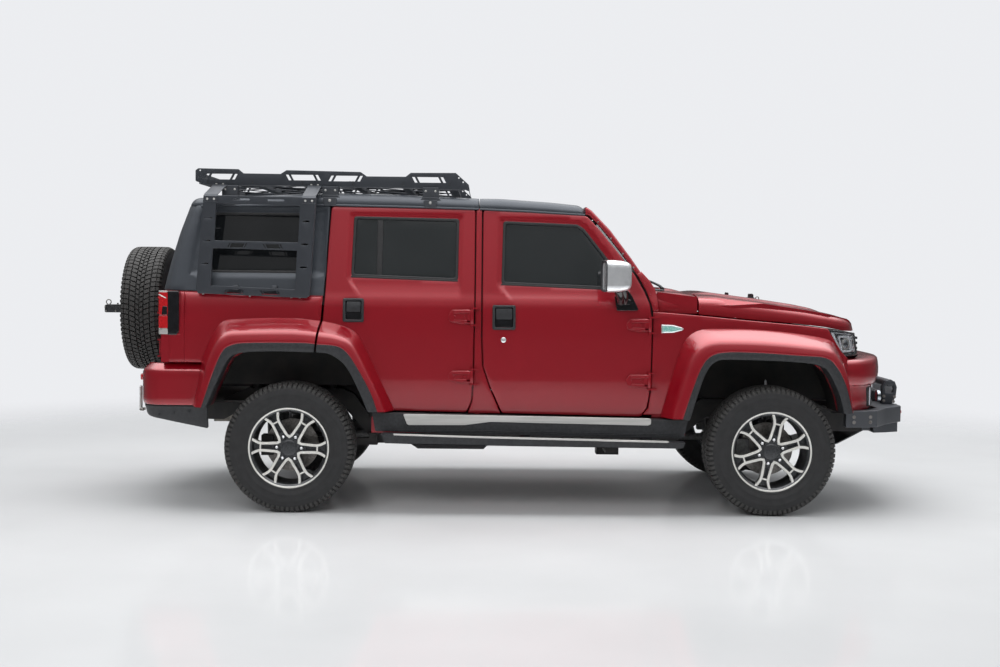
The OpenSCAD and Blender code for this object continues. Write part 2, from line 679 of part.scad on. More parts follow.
module hub_disc() {
  color(steel) {
    difference() {
      translate([0, 62, 0]) rotate([90, 0, 0]) cylinder(h = 22, r = 152);
      translate([0, 73, 0]) rotate([90, 0, 0]) cylinder(h = 44, r = 20.5);
    }
    difference() {
      translate([0, 72, 0]) rotate([90, 0, 0]) cylinder(h = 70.3, r = 58);
      translate([0, 73, 0]) rotate([90, 0, 0]) cylinder(h = 44, r = 20.5);
    }
  }
}
module road_wheel_rim(x, s) {
  translate([x, s * hub_y, hub_z]) mirror([0, s > 0 ? 1 : 0, 0]) {
    rim();
    hub_disc();
  }
}
module road_tyre(x, s) {
  translate([x, s * hub_y, hub_z]) tyre(tyre_radius, tyre_width);
}
module spare_tyre() {
  translate([px(spare_x), 0, spare_z]) rotate([0, 0, -90]) tyre(spare_radius, tyre_width);
}
module spare_rim() {
  translate([px(spare_x), 0, spare_z]) rotate([0, 0, -90]) {
    rim();
  }
  color(black) {
    translate([px(spare_x) + 62, 0, spare_z]) rotate([0, -90, 0]) cylinder(h = 65, r = 52);
    translate([px(spare_x) - 90, 0, spare_z]) rotate([0, -90, 0]) cylinder(h = 110, r = 36);
    box(px(-4024), px(spare_x) - 180, -40, 40, spare_z - 30, spare_z + 20);
  }
}

// ---- chassis -----------------------------------------------------------------------
module ladder_frame() {
  color(black) {
    pair() side(-RY, -RY + rail_width, P([[640, 440], [420, 440], [300, 520], [-300, 520], [-520, 345], [-2290, 345],
      [-2480, 560], [-3050, 560], [-3200, 480], [-3520, 480], [-3520, 590], [-3220, 590], [-3060, 670], [-2490, 670],
      [-2420, 640], [-2300, 470], [-2260, 455], [-560, 455], [-330, 628], [330, 628], [460, 550], [640, 550]]));
    for (c = [[-520, 370, 60], [-1560, 395, 55], [-2180, 395, 55], [-3470, 500, 60], [560, 460, 60]]) {
      box(px(c[0]) - 40, px(c[0]) + 40, -RY + rail_width, RY - rail_width, c[1], c[1] + c[2]);
    }
    box(px(-2960), px(-2900), -RY + rail_width, RY - rail_width, 590, 650);
    // body mounts
    pair() for (x = [-700, -1500, -2150]) {
      bar_z(px(x), -RY + rail_width / 2, 455, 515, 32);
    }
    pair() for (x = [-2560, -3000]) {
      bar_z(px(x), -RY + rail_width / 2, 670, 705, 32);
    }
    // gearbox bracket
    box(px(-930), px(-790), -60, 60, 236, 285);
    box(px(-900), px(-830), -RY + rail_width, RY - rail_width, 285, 300);
    pair() box(px(-900), px(-830), -RY + rail_width, -RY + rail_width + 20, 300, 380);
  }
}
module powertrain() {
  color(steel) {
    box(px(-440), px(300), -215, 215, 640, 1010);
    box(px(-440), px(240), -150, 150, 480, 640);
    box(px(-560), px(-440), -150, 150, 430, 510);
    box(px(-1290), px(-560), -120, 120, 300.3, 508);
    bar_x(px(-2630), px(-1290), 0, hub_z - 20, 32);
    bar_x(px(-1150), px(-95), 165, 330, 22);
    box(px(-1250), px(-1150), 120, 200, 302, 440);
  }
}
module fuel_tank() {
  color(black) side(-RY + rail_width, -60, P([[-2080, 330], [-2040, 303], [-1640, 303], [-1612, 330], [-1612, 362],
    [-2080, 362]]));
  color(black) side(-RY + rail_width, -60, P([[-2080, 362], [-1612, 362], [-1612, 500], [-2080, 500]]));
}
module exhaust() {
  color(steel) {
    bar_x(px(-1960), px(-560), 270, 340, 26);
    side(190, 350, P([[-800, 316], [-770, 296], [-630, 296], [-606, 316], [-606, 366], [-800, 366]]));
    side(180, 345, P([[-2420, 300], [-1960, 300], [-1960, 388], [-2420, 388]]));
    box(px(-1990), px(-1970), 250, 270, 388, 515);
    bar_x(px(-3560), px(-3120), 290, 440, 26);
    side(180, 340, P([[-3120, 400], [-3380, 400], [-3380, 520], [-3120, 520]]));
    box(px(-3430), px(-3380), 240, 260, 505, 520);
  }
}
module arm(z, t) {
  // triangle from the frame to the ball joint
  flat(z, z + t, [[FX - 150, -RY - 4], [FX + 150, -RY - 4], [FX + 22, -KY + 34], [FX + 22, -KY + 14],
    [FX - 22, -KY + 14], [FX - 22, -KY + 34]]);
}
module front_suspension() {
  color(black) {
    pair() {
      difference() {
        arm(hub_z - 152, 16);
        flat(hub_z - 160, hub_z - 100, [[FX - 80, -RY - 30], [FX + 80, -RY - 30], [FX + 18, -KY + 100], [FX - 18, -KY + 100]]);
      }
      difference() {
        arm(hub_z + 158, 20);
        flat(hub_z + 150, hub_z + 190, [[FX - 90, -RY - 24], [FX + 90, -RY - 24], [FX + 20, -KY + 90], [FX - 20, -KY + 90]]);
      }
      box(FX - 170, FX + 170, -RY - 4, -RY + rail_width, hub_z + 135, hub_z + 149.7);
      box(FX - 170, FX - 120, -RY - 4, -RY + 40, hub_z - 160, hub_z + 149.7);
      box(FX + 120, FX + 170, -RY - 4, -RY + 40, hub_z - 160, hub_z + 149.7);
      // ball joint pins
      bar_z(FX, -KY, hub_z - 152, hub_z - 136, 16);
      bar_z(FX, -KY, hub_z - 136, hub_z - 112, 9);
      bar_z(FX, -KY, hub_z + 160, hub_z + 178, 16);
      bar_z(FX, -KY, hub_z + 118, hub_z + 160, 9);
      box(FX - 20, FX + 20, -KY + 10, -KY + 36, hub_z - 152, hub_z - 136);
      box(FX - 20, FX + 20, -KY + 10, -KY + 36, hub_z + 160, hub_z + 178);
      // spring leg
      translate([FX - 40, -RY - 72, hub_z - 136]) rotate([-2, 0, 0]) cylinder(h = 394, r = 12);
      translate([FX - 40, -RY - 70, hub_z - 40]) rotate([-2, 0, 0]) cylinder(h = 260, r = 44);
      box(FX - 90, FX + 10, -RY - 110, -RY + 20, 628, 640);
      // half shaft
      bar_y(FX, hub_z, -KY + 52, -150, 15);
      bar_y(FX, hub_z, -KY + 52, -KY + 120, 38);
      bar_y(FX, hub_z, -210, -150, 38);
    }
    box(FX - 95, FX + 95, -150, 200, hub_z - 72, hub_z + 62);
    // lower cross member
    box(FX - 170, FX - 120, -RY + 40, RY - 40, hub_z - 160, hub_z - 100);
    box(FX + 120, FX + 170, -RY + 40, RY - 40, hub_z - 160, hub_z - 100);
    box(FX - 120, FX + 120, -30, 30, hub_z - 130, hub_z - 72);
    // steering rack, its rods end short of the knuckles
    bar_y(FX + 215, hub_z + 12, -360, 360, 24);
    box(FX + 170, FX + 240, -300, -240, hub_z - 120, hub_z - 10);
    box(FX + 170, FX + 240, 240, 300, hub_z - 120, hub_z - 10);
  }
}
module knuckle() {
  // right-hand carrier: king pin bosses, body, caliper
  color(steel) {
    difference() {
      union() {
        bar_z(FX, -KY, hub_z - 131, hub_z - 96, 26);
        bar_z(FX, -KY, hub_z + 96, hub_z + 140, 26);
        box(FX - 26, FX + 26, -KY - 32, -KY, hub_z - 131, hub_z + 140);
        bar_y(FX, hub_z, -KY - 32, -KY + 24, 62);
      }
      bar_z(FX, -KY, hub_z - 135, hub_z - 111, 9.5);
      bar_z(FX, -KY, hub_z + 117, hub_z + 145, 9.5);
      bar_y(FX, hub_z, -KY - 10, -KY + 30, 46);
    }
    bar_y(FX, hub_z, -hub_y + 34, -KY - 20, 20);
    box(FX - 130, FX - 40, -hub_y + 78, -KY - 14, hub_z + 10, hub_z + 50);
    difference() {
      box(FX - 175, FX - 105, -hub_y + 14, -KY - 14, hub_z - 58, hub_z + 58);
      box(FX - 158, FX - 60, -hub_y + 32, -hub_y + 70, hub_z - 100, hub_z + 100);
    }
  }
}
module rear_axle() {
  color(black) {
    bar_y(RX, hub_z, -hub_y + 98, hub_y - 98, axle_radius);
    intersection() {
      translate([RX, 0, hub_z]) sphere(r = 135);
      box(RX - 135, RX + 115, -150, 150, hub_z - 140, hub_z + 140);
    }
    pair() {
      // backing flange and caliper
      bar_y(RX, hub_z, -hub_y + 98, -hub_y + 104, 95);
      box(RX - 130, RX - 60, -hub_y + 98, -hub_y + 104, hub_z - 40, hub_z + 40);
      bar_y(RX, hub_z, -hub_y + 34, -hub_y + 100, 20);
      difference() {
        box(RX - 175, RX - 105, -hub_y + 14, -hub_y + 104, hub_z - 58, hub_z + 58);
        box(RX - 158, RX - 60, -hub_y + 32, -hub_y + 70, hub_z - 100, hub_z + 100);
      }
      // coil, its seat and the damper
      box(RX + 20, RX + 160, -560, -440, hub_z + 28, hub_z + 48);
      bar_z(RX + 90, -500, hub_z + 48, 600, 48);
      box(RX + 40, RX + 140, -560, -RY, 600, 640);
      translate([RX - 95, -560, hub_z - 30]) rotate([0, -10, 0]) cylinder(h = 330, r = 24);
      box(RX - 110, RX - 30, -590, -540, hub_z - 40, hub_z - 10);
      box(RX - 190, RX - 110, -590, -RY, 640, 670);
      // trailing link
      box(RX + 20, RX + 470, -RY - 62, -RY - 12, hub_z - 30, hub_z + 10);
      box(RX + 420, RX + 470, -RY - 62, -RY, hub_z - 30, hub_z + 40);
    }
  }
}

// ---- cabin -------------------------------------------------------------------------
module seat(w) {
  side(-w / 2, w / 2, P([[-1030, 700], [-1010, 770], [-1050, 830], [-1450, 800], [-1590, 1330], [-1640, 1410], [-1690, 1400],
    [-1690, 1330], [-1560, 720], [-1500, 690]]));
  side(-120, 120, P([[-1622, 1440], [-1640, 1590], [-1690, 1600], [-1722, 1580], [-1705, 1430], [-1660, 1420]]));
  side(-60, 60, P([[-1640, 1405], [-1650, 1430], [-1690, 1430], [-1686, 1398]]));
}
module front_seats() {
  color(black) pair() {
    translate([0, -375, 0]) seat(500);
    box(px(-1480), px(-1080), -545, -205, floor_z + 0.3, 700);
  }
}
module rear_seat() {
  color(black) {
    side(-550, 550, P([[-1960, 745], [-1950, 830], [-2340, 805], [-2420, 1240], [-2435, 1260], [-2510, 1250], [-2435, 760],
      [-2420, 735.3]]));
    box(px(-2285), px(-2020), -540, 540, floor_z + 0.3, 736);
    for (y = [-380, 0, 380]) translate([0, y, 0]) {
      side(-110, 110, P([[-2436, 1290], [-2446, 1420], [-2500, 1430], [-2525, 1410], [-2512, 1280]]));
      side(-50, 50, P([[-2444, 1259.5], [-2444, 1290], [-2500, 1290], [-2500, 1251]]));
    }
  }
}
module dashboard() {
  color(black) dash_form();
  color(black) side(-110, 110, P([[-720, floor_z + 0.3], [-720, 900], [-860, 900], [-1000, 700], [-1560, 700], [-1560, floor_z + 0.3]]));
}
module dash_form() {
  difference() {
    side(-(W - 132), W - 132, P([[-660, 1160], [-712, 1215], [-800, 1235], [-960, 1215], [-985, 1120], [-930, 960],
      [-820, 900], [-640.3, 900], [-640.3, 1159]]));
    side(-(W - 100), W - 100, P([[-640, 1150], [-701, 1150], [-701, 1260], [-640, 1260]]));
  }
}
module steering_wheel() {
  color(black) difference() {
    translate([px(-1085), 370, 1095]) rotate([0, 114, 0]) {
      rotate_extrude() translate([178, 0]) circle(r = 15);
      cylinder(h = 30, r = 62);
      for (a = [0, 110, 250]) rotate([0, 0, a]) translate([0, -18, 4]) cube([175, 36, 14]);
      translate([0, 0, 30]) cylinder(h = 130, r = 24);
    }
    dash_form();
  }
}

module right_only() {
  children();
}
module left_only() {
  mirror([0, 1, 0]) children();
}

ladder_frame();
floor_pan();
rear_panel();
body_sides();
cowl_panel();
windscreen_frame();
fixed_glass();
front_fenders();
grille_panel();
headlamps();
front_bumper();
bull_bar();
front_roof_panel();
hardtop();
roof_rack();
side_carriers();
arch_flares();
side_cladding();
side_steps();
rear_bumper();
tail_lamps();
front_seats();
rear_seat();
dashboard();
steering_wheel();
powertrain();
front_suspension();
rear_axle();
exhaust();
fuel_tank();
bonnet();
right_only() front_door();  // front_door_right
right_only() color(glass) pane(front_window);  // front_glass_right
right_only() mirror_piece();  // mirror_right
right_only() rear_door();  // rear_door_right
right_only() color(glass) pane(rear_window);  // rear_glass_right
left_only() front_door();  // front_door_left
left_only() color(glass) pane(front_window);  // front_glass_left
left_only() mirror_piece();  // mirror_left
left_only() rear_door();  // rear_door_left
left_only() color(glass) pane(rear_window);  // rear_glass_left
tailgate();
spare_tyre();
spare_rim();
right_only() knuckle();  // knuckle_right
left_only() knuckle();  // knuckle_left
road_tyre(FX, -1);  // tyre_front_right
road_wheel_rim(FX, -1);  // rim_front_right
road_tyre(FX, 1);  // tyre_front_left
road_wheel_rim(FX, 1);  // rim_front_left
road_tyre(RX, -1);  // tyre_rear_right
road_wheel_rim(RX, -1);  // rim_rear_right
road_tyre(RX, 1);  // tyre_rear_left
road_wheel_rim(RX, 1);  // rim_rear_left
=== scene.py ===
import math
import bpy
import numpy as np
from mathutils import Matrix, Vector
from mathutils.geometry import delaunay_2d_cdt

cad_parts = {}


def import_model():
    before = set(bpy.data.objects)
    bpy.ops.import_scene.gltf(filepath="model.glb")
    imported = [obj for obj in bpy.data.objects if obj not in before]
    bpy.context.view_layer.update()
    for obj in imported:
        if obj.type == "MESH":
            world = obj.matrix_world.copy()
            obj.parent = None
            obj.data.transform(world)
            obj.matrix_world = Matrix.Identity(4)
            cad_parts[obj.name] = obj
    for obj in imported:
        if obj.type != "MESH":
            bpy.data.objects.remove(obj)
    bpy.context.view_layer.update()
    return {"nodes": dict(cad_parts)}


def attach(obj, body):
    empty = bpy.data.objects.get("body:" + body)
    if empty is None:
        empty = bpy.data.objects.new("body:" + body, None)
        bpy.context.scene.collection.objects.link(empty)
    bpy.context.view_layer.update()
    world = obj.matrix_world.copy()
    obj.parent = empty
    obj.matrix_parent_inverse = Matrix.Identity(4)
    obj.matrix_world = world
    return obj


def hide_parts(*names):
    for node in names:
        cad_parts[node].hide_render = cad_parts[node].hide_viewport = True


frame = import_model()
scene = bpy.context.scene

# frame positions in millimetres: front and rear hub stations, half body width, half flare width
FX, RX, W, FW = 1547.0, -1198.0, 822.0, 955.0
HUB_Y, HUB_Z, TYRE_R, SPARE_R = 800.0, 370.0, 370.0, 384.0
SPARE = (FX - 3722.0, 0.0, 1132.0)
STUD_R = 69.85

# ---- camera: the photograph's own view -----------------------------------------------
YAW, PITCH, ROLL = 0.0104, 0.0446, 0.0097
CAMERA_AT = (-0.0871, -8.7618, 1.3815)
fwd = Vector((math.sin(YAW), math.cos(YAW), 0))
right = Vector((math.cos(YAW), -math.sin(YAW), 0))
up = Vector((0, 0, 1))
look = fwd * math.cos(PITCH) - up * math.sin(PITCH)
top = up * math.cos(PITCH) + fwd * math.sin(PITCH)
side_axis = right * math.cos(ROLL) + top * math.sin(ROLL)
top_axis = top * math.cos(ROLL) - right * math.sin(ROLL)
cam_data = bpy.data.cameras.new("camera")
cam_data.lens, cam_data.sensor_width = 50, 36
cam_data.clip_start, cam_data.clip_end = 0.1, 200
cam = bpy.data.objects.new("camera", cam_data)
scene.collection.objects.link(cam)
facing = Matrix((side_axis, top_axis, -look)).transposed().to_4x4()
cam.matrix_world = Matrix.Translation(CAMERA_AT) @ facing
scene.camera = cam
scene.view_settings.view_transform = "Standard"


# ---- materials -----------------------------------------------------------------------
def nodes_of(m):
    return m.node_tree.nodes, m.node_tree.links


def material(name, dark, light, scale=40.0, rough=(0.4, 0.5), metal=0.0, coat=0.0, bump=(0, 0), alpha=1.0,
             grain="noise", stretch=(1, 1, 1), sheen=0.0, edge_highlight=None, transmission=0.0, contrast=(0.35, 0.65)):
    """A Principled material whose colour, roughness and bump come from procedural textures in object
    space."""
    m = bpy.data.materials.new(name)
    m.use_nodes = True
    n, l = nodes_of(m)
    p = n["Principled BSDF"]
    p.inputs["Metallic"].default_value = metal
    p.inputs["Coat Weight"].default_value = coat
    p.inputs["Coat Roughness"].default_value = 0.04
    p.inputs["Alpha"].default_value = alpha
    p.inputs["Sheen Weight"].default_value = sheen
    p.inputs["Transmission Weight"].default_value = transmission
    coords = n.new("ShaderNodeTexCoord")
    mapping = n.new("ShaderNodeMapping")
    mapping.inputs["Scale"].default_value = stretch
    l.new(coords.outputs["Object"], mapping.inputs["Vector"])
    tex = n.new("ShaderNodeTexNoise")
    tex.inputs["Scale"].default_value = scale
    tex.inputs["Detail"].default_value = 4
    l.new(mapping.outputs["Vector"], tex.inputs["Vector"])
    ramp = n.new("ShaderNodeValToRGB")
    ramp.color_ramp.elements[0].position, ramp.color_ramp.elements[1].position = contrast
    ramp.color_ramp.elements[0].color = (*dark, 1)
    ramp.color_ramp.elements[1].color = (*light, 1)
    l.new(tex.outputs["Fac"], ramp.inputs["Fac"])
    colour = ramp.outputs["Color"]
    if edge_highlight:
        # painted highlight: convex edges are made paler, as if light caught on them
        geo = n.new("ShaderNodeNewGeometry")
        edge = n.new("ShaderNodeMapRange")
        edge.inputs["From Min"].default_value, edge.inputs["From Max"].default_value = 0.52, 0.62
        mix = n.new("ShaderNodeMix")
        mix.data_type = "RGBA"
        mix.inputs["B"].default_value = (*edge_highlight, 1)
        l.new(geo.outputs["Pointiness"], edge.inputs["Value"])
        l.new(edge.outputs["Result"], mix.inputs["Factor"])
        l.new(colour, mix.inputs["A"])
        colour = mix.outputs["Result"]
    l.new(colour, p.inputs["Base Color"])
    rmap = n.new("ShaderNodeMapRange")
    rmap.inputs["To Min"].default_value, rmap.inputs["To Max"].default_value = rough
    l.new(tex.outputs["Fac"], rmap.inputs["Value"])
    l.new(rmap.outputs["Result"], p.inputs["Roughness"])
    if bump[0]:
        fine = n.new("ShaderNodeTexVoronoi" if grain == "cells" else "ShaderNodeTexNoise")
        fine.inputs["Scale"].default_value = bump[0]
        l.new(mapping.outputs["Vector"], fine.inputs["Vector"])
        b = n.new("ShaderNodeBump")
        b.inputs["Strength"].default_value = bump[1]
        b.inputs["Distance"].default_value = 0.0008
        l.new(fine.outputs["Distance" if grain == "cells" else "Fac"], b.inputs["Height"])
        l.new(b.outputs["Normal"], p.inputs["Normal"])
    return m


PAINT = material("paint_red", (0.25, 0.0015, 0.008), (0.31, 0.003, 0.013), 900, (0.28, 0.38), 0.30, 1.0,
                 (1500, 0.04))
ROOF = material("satin_grey", (0.044, 0.050, 0.060), (0.056, 0.063, 0.074), 300, (0.34, 0.44), 0.25, 0.0,
                (900, 0.05))
# the paler colour on its convex edges is a painted highlight
RACK = material("rack_grey_coat", (0.036, 0.040, 0.048), (0.052, 0.057, 0.066), 500, (0.36, 0.46), 0.3, 0,
                (2200, 0.15),
                edge_highlight=(0.10, 0.105, 0.115))
PLASTIC = material("grained_plastic", (0.012, 0.013, 0.015), (0.022, 0.023, 0.026), 60, (0.48, 0.62), 0, 0,
                   (1600, 0.35),
                   grain="cells")
GLOSSBLACK = material("gloss_black", (0.006, 0.006, 0.007), (0.010, 0.010, 0.012), 30, (0.08, 0.16), 0, 0.6)
# the paler colour on the convex edges of the rubber is a painted highlight
RUBBER = material("tyre_rubber_matt", (0.007, 0.007, 0.0075), (0.015, 0.015, 0.016), 25, (0.6, 0.8), 0, 0,
                  (700, 0.25),
                  edge_highlight=(0.030, 0.029, 0.028))
SEAL = material("rubber_seal", (0.008, 0.008, 0.009), (0.014, 0.014, 0.015), 80, (0.45, 0.6))
MACHINED = material("machined_silver", (0.66, 0.65, 0.61), (0.78, 0.77, 0.73), 220, (0.26, 0.36), 0.35, 0.3,
                    (1800, 0.05))
GUNMETAL = material("gunmetal", (0.035, 0.037, 0.040), (0.060, 0.062, 0.066), 120, (0.30, 0.42), 0.6, 0.3)
CHROME = material("chrome", (0.74, 0.75, 0.77), (0.82, 0.83, 0.85), 30, (0.05, 0.10), 0.60, 0.5)
SILVER = material("brushed_silver", (0.52, 0.52, 0.50), (0.64, 0.63, 0.61), 60, (0.24, 0.36), 0.5, 0,
                  (600, 0.08), stretch=(0.05, 1, 1))
STEEL = material("dusty_steel", (0.16, 0.15, 0.14), (0.27, 0.26, 0.25), 45, (0.45, 0.65), 0.7, 0, (300, 0.2))
CAST = material("cast_alloy", (0.11, 0.11, 0.11), (0.19, 0.19, 0.19), 60, (0.5, 0.7), 0.5, 0, (400, 0.4))
CHASSIS = material("chassis_satin", (0.010, 0.010, 0.011), (0.024, 0.022, 0.021), 18, (0.45, 0.70), 0, 0,
                   (250, 0.25))
UNDER = material("underbody_coat", (0.009, 0.009, 0.009), (0.020, 0.019, 0.018), 12, (0.7, 0.9), 0, 0,
                 (500, 0.5))
DISC = material("brake_disc", (0.20, 0.19, 0.18), (0.34, 0.32, 0.30), 90, (0.28, 0.45), 0.85)
GLASS = material("side_glass", (0.016, 0.019, 0.020), (0.020, 0.023, 0.024), 4, (0.02, 0.04), 0, 0,
                 alpha=0.92)
PRIVACY = material("privacy_glass", (0.007, 0.008, 0.009), (0.010, 0.011, 0.012), 4, (0.02, 0.04), 0, 0,
                   alpha=0.985)
SCREEN = material("screen_glass", (0.03, 0.036, 0.036), (0.036, 0.042, 0.042), 4, (0.01, 0.03), 0, 0,
                  alpha=0.45)
CLEAR = material("lamp_clear_lens", (0.10, 0.11, 0.12), (0.14, 0.15, 0.16), 8, (0.01, 0.03), 0, 0, alpha=0.16)
RED_LENS = material("lamp_red_lens", (0.38, 0.006, 0.010), (0.50, 0.012, 0.016), 160, (0.06, 0.12), 0, 0.8)
GREENLENS = material("marker_lens", (0.10, 0.42, 0.36), (0.42, 0.62, 0.58), 160, (0.08, 0.16), 0, 0.6)
LAMP_WHITE = material("lamp_guide", (0.72, 0.75, 0.80), (0.80, 0.83, 0.87), 60, (0.2, 0.3))
LEATHER = material("seat_leather_black", (0.013, 0.012, 0.012), (0.026, 0.025, 0.024), 35, (0.42, 0.58), 0, 0,
                   (420, 0.55), grain="cells", sheen=0.15)
DASH = material("cabin_plastic_soft", (0.014, 0.014, 0.015), (0.024, 0.024, 0.025), 50, (0.55, 0.7), 0, 0,
                (900, 0.35), grain="cells")
CARPET = material("floor_carpet", (0.010, 0.010, 0.010), (0.020, 0.020, 0.020), 200, (0.85, 0.95), 0, 0,
                  (1400, 0.7), sheen=0.3)
RED_SOLID = material("hook_red", (0.42, 0.016, 0.010), (0.52, 0.025, 0.016), 60, (0.35, 0.5))
MIRROR_GLASS = material("mirror_glass", (0.32, 0.35, 0.38), (0.36, 0.39, 0.42), 6, (0.02, 0.03), 1.0)
EXHAUST = material("dull_exhaust", (0.20, 0.19, 0.17), (0.34, 0.31, 0.27), 30, (0.4, 0.6), 0.8, 0, (200, 0.2))

FINISH = {
    "ladder_frame": CHASSIS, "floor_pan": UNDER, "body_sides": PAINT, "cowl_panel": PAINT,
          "windscreen_frame": PAINT,
    "fixed_glass": PRIVACY, "front_fenders": PAINT, "grille_panel": PLASTIC, "headlamps": GLOSSBLACK,
    "front_bumper": PAINT, "bull_bar": RACK, "front_roof_panel": ROOF, "hardtop": ROOF, "roof_rack": RACK,
    "side_carriers": RACK, "arch_flares": PAINT, "side_cladding": PLASTIC, "side_steps": PLASTIC,
    "rear_bumper": PAINT, "tail_lamps": GLOSSBLACK, "front_seats": LEATHER, "rear_seat": LEATHER,
          "dashboard": DASH,
    "steering_wheel": DASH, "powertrain": CAST, "front_suspension": CHASSIS, "rear_axle": CHASSIS,
    "exhaust": EXHAUST, "fuel_tank": PLASTIC, "bonnet": PAINT, "rear_panel": UNDER, "tailgate": PAINT,
          "spare_tyre": RUBBER,
    "spare_rim": GUNMETAL, "knuckle_right": CAST, "knuckle_left": CAST,
}
for node, o in frame["nodes"].items():
    base = node.rsplit("_", 1)[0]
    finish = FINISH.get(node) or {"front_door": PAINT, "rear_door": PAINT, "front_glass": GLASS,
                                  "rear_glass": GLASS,
                                  "mirror": CHROME}.get(base) or (RUBBER if "tyre" in node else GUNMETAL)
    o.data.materials.clear()
    o.data.materials.append(finish)


# ---- geometry helpers, all in millimetres ----------------------------------------------
class Geo:
    """Vertices and faces of one piece, gathered before Blender makes it."""

    def __init__(self):
        self.v, self.f, self.n = [], [], 0

    def add(self, verts, faces):
        self.v.append(np.asarray(verts, float).reshape(-1, 3))
        self.f += [[i + self.n for i in f] for f in faces]
        self.n += len(self.v[-1])
        return self

    def prism(self, axis, a, b, pts):
        """Polygon pts extruded from a to b. Axis x takes (y, z) points, y takes (x, z) and z takes (x, y)."""
        k = len(pts)
        area = sum(pts[i - 1][0] * pts[i][1] - pts[i][0] * pts[i - 1][1] for i in range(k))
        if (area < 0) != (axis == "y"):
            pts = pts[::-1]
        put = {"x": lambda p, h: (h, p[0], p[1]), "y": lambda p, h: (p[0], h, p[1]), "z": lambda p,
               h: (p[0], p[1], h)}[axis]
        verts = [put(p, h) for h in (a, b) for p in pts]
        faces = [list(range(k))[::-1], list(range(k, 2 * k))]
        faces += [[i, (i + 1) % k, (i + 1) % k + k, i + k] for i in range(k)]
        return self.add(verts, faces)

    def box(self, x0, x1, y0, y1, z0, z1):
        return self.prism("z", z0, z1, [(x0, y0), (x1, y0), (x1, y1), (x0, y1)])

    def tube(self, path, r, n=10, closed=False):
        """Round tube through path; r is one radius or one for each point."""
        path = [Vector(p) for p in path]
        k = len(path)
        rs = [r] * k if isinstance(r, (int, float)) else r
        verts, normal = [], None
        for i, p in enumerate(path):
            a = path[(i - 1) % k] if closed or i else p
            b = path[(i + 1) % k] if closed or i < k - 1 else p
            t = (b - a).normalized()
            if normal is None:
                normal = t.orthogonal().normalized()
            normal = (normal - t * normal.dot(t)).normalized()
            side = t.cross(normal)
            for j in range(n):
                q = 2 * math.pi * j / n
                verts.append(p + (normal * math.cos(q) + side * math.sin(q)) * rs[i])
        faces = []
        for i in range(k if closed else k - 1):
            for j in range(n):
                c, d = i * n + j, i * n + (j + 1) % n
                e, f = ((i + 1) % k) * n + (j + 1) % n, ((i + 1) % k) * n + j
                faces.append([c, d, e, f])
        if not closed:
            faces += [list(range(n))[::-1], list(range((k - 1) * n, k * n))]
        return self.add([tuple(v) for v in verts], faces)

    def lathe(self, profile, n=96, closed=True):
        """Profile of (radius, y) turned about the Y axis through the origin."""
        k = len(profile)
        q = np.arange(n) * 2 * math.pi / n
        verts = [(r * math.cos(a), y, r * math.sin(a)) for a in q for r, y in profile]
        faces = []
        for i in range(n):
            for j in range(k if closed else k - 1):
                a, b = i * k + j, i * k + (j + 1) % k
                c, d = ((i + 1) % n) * k + (j + 1) % k, ((i + 1) % n) * k + j
                faces.append([a, b, c, d])
        return self.add(verts, faces)

    def turned(self, matrix):
        """A copy moved by a 4x4 matrix; a mirroring matrix turns the faces over."""
        g = Geo()
        v = np.vstack(self.v)
        m = np.array(matrix)
        faces = self.f if np.linalg.det(m[:3, :3]) > 0 else [f[::-1] for f in self.f]
        return g.add(v @ m[:3, :3].T + m[:3, 3], faces)

    def join(self, other):
        return self.add(np.vstack(other.v), other.f)


MIRROR = Matrix.Diagonal((1, -1, 1, 1))


def make(name, geo, mat, body="chassis", bevel=0.0, seg=2, angle=30, smooth=32, slot=None, replaces=(),
         sub=0):
    """Turns a Geo into a riding piece."""
    me = bpy.data.meshes.new(name)
    me.from_pydata((np.vstack(geo.v) * 0.001).tolist(), [], geo.f)
    me.validate()
    me.polygons.foreach_set("use_smooth", [True] * len(me.polygons))
    if not bevel:
        me.set_sharp_from_angle(angle=math.radians(smooth))
    me.materials.append(mat)
    o = bpy.data.objects.new(name, me)
    scene.collection.objects.link(o)
    if bevel:
        b = o.modifiers.new("edge", "BEVEL")
        b.width, b.segments, b.limit_method, b.angle_limit = bevel / 1000, seg, "ANGLE", math.radians(angle)
        b.use_clamp_overlap = False
        b.harden_normals = True
    if sub:
        s = o.modifiers.new("smooth", "SUBSURF")
        s.levels = s.render_levels = sub
    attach(o, body)
    if replaces:
        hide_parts(*replaces)
    return o


def make_pair(name, geo, mat, bodies, replaces=(), **more):
    """The right-hand piece and its mirror image, each on its own body."""
    for s, body in zip(("right", "left"), bodies):
        g = geo if s == "right" else geo.turned(MIRROR)
        make(f"{name}_{s}", g, mat, body, replaces=[r.replace("*", s) for r in replaces], **more)


def make_both(name, geo, mat, body="chassis", **more):
    """One piece that holds the right-hand shape and its mirror image."""
    g = Geo()
    g.join(geo)
    g.join(geo.turned(MIRROR))
    return make(name, g, mat, body, **more)


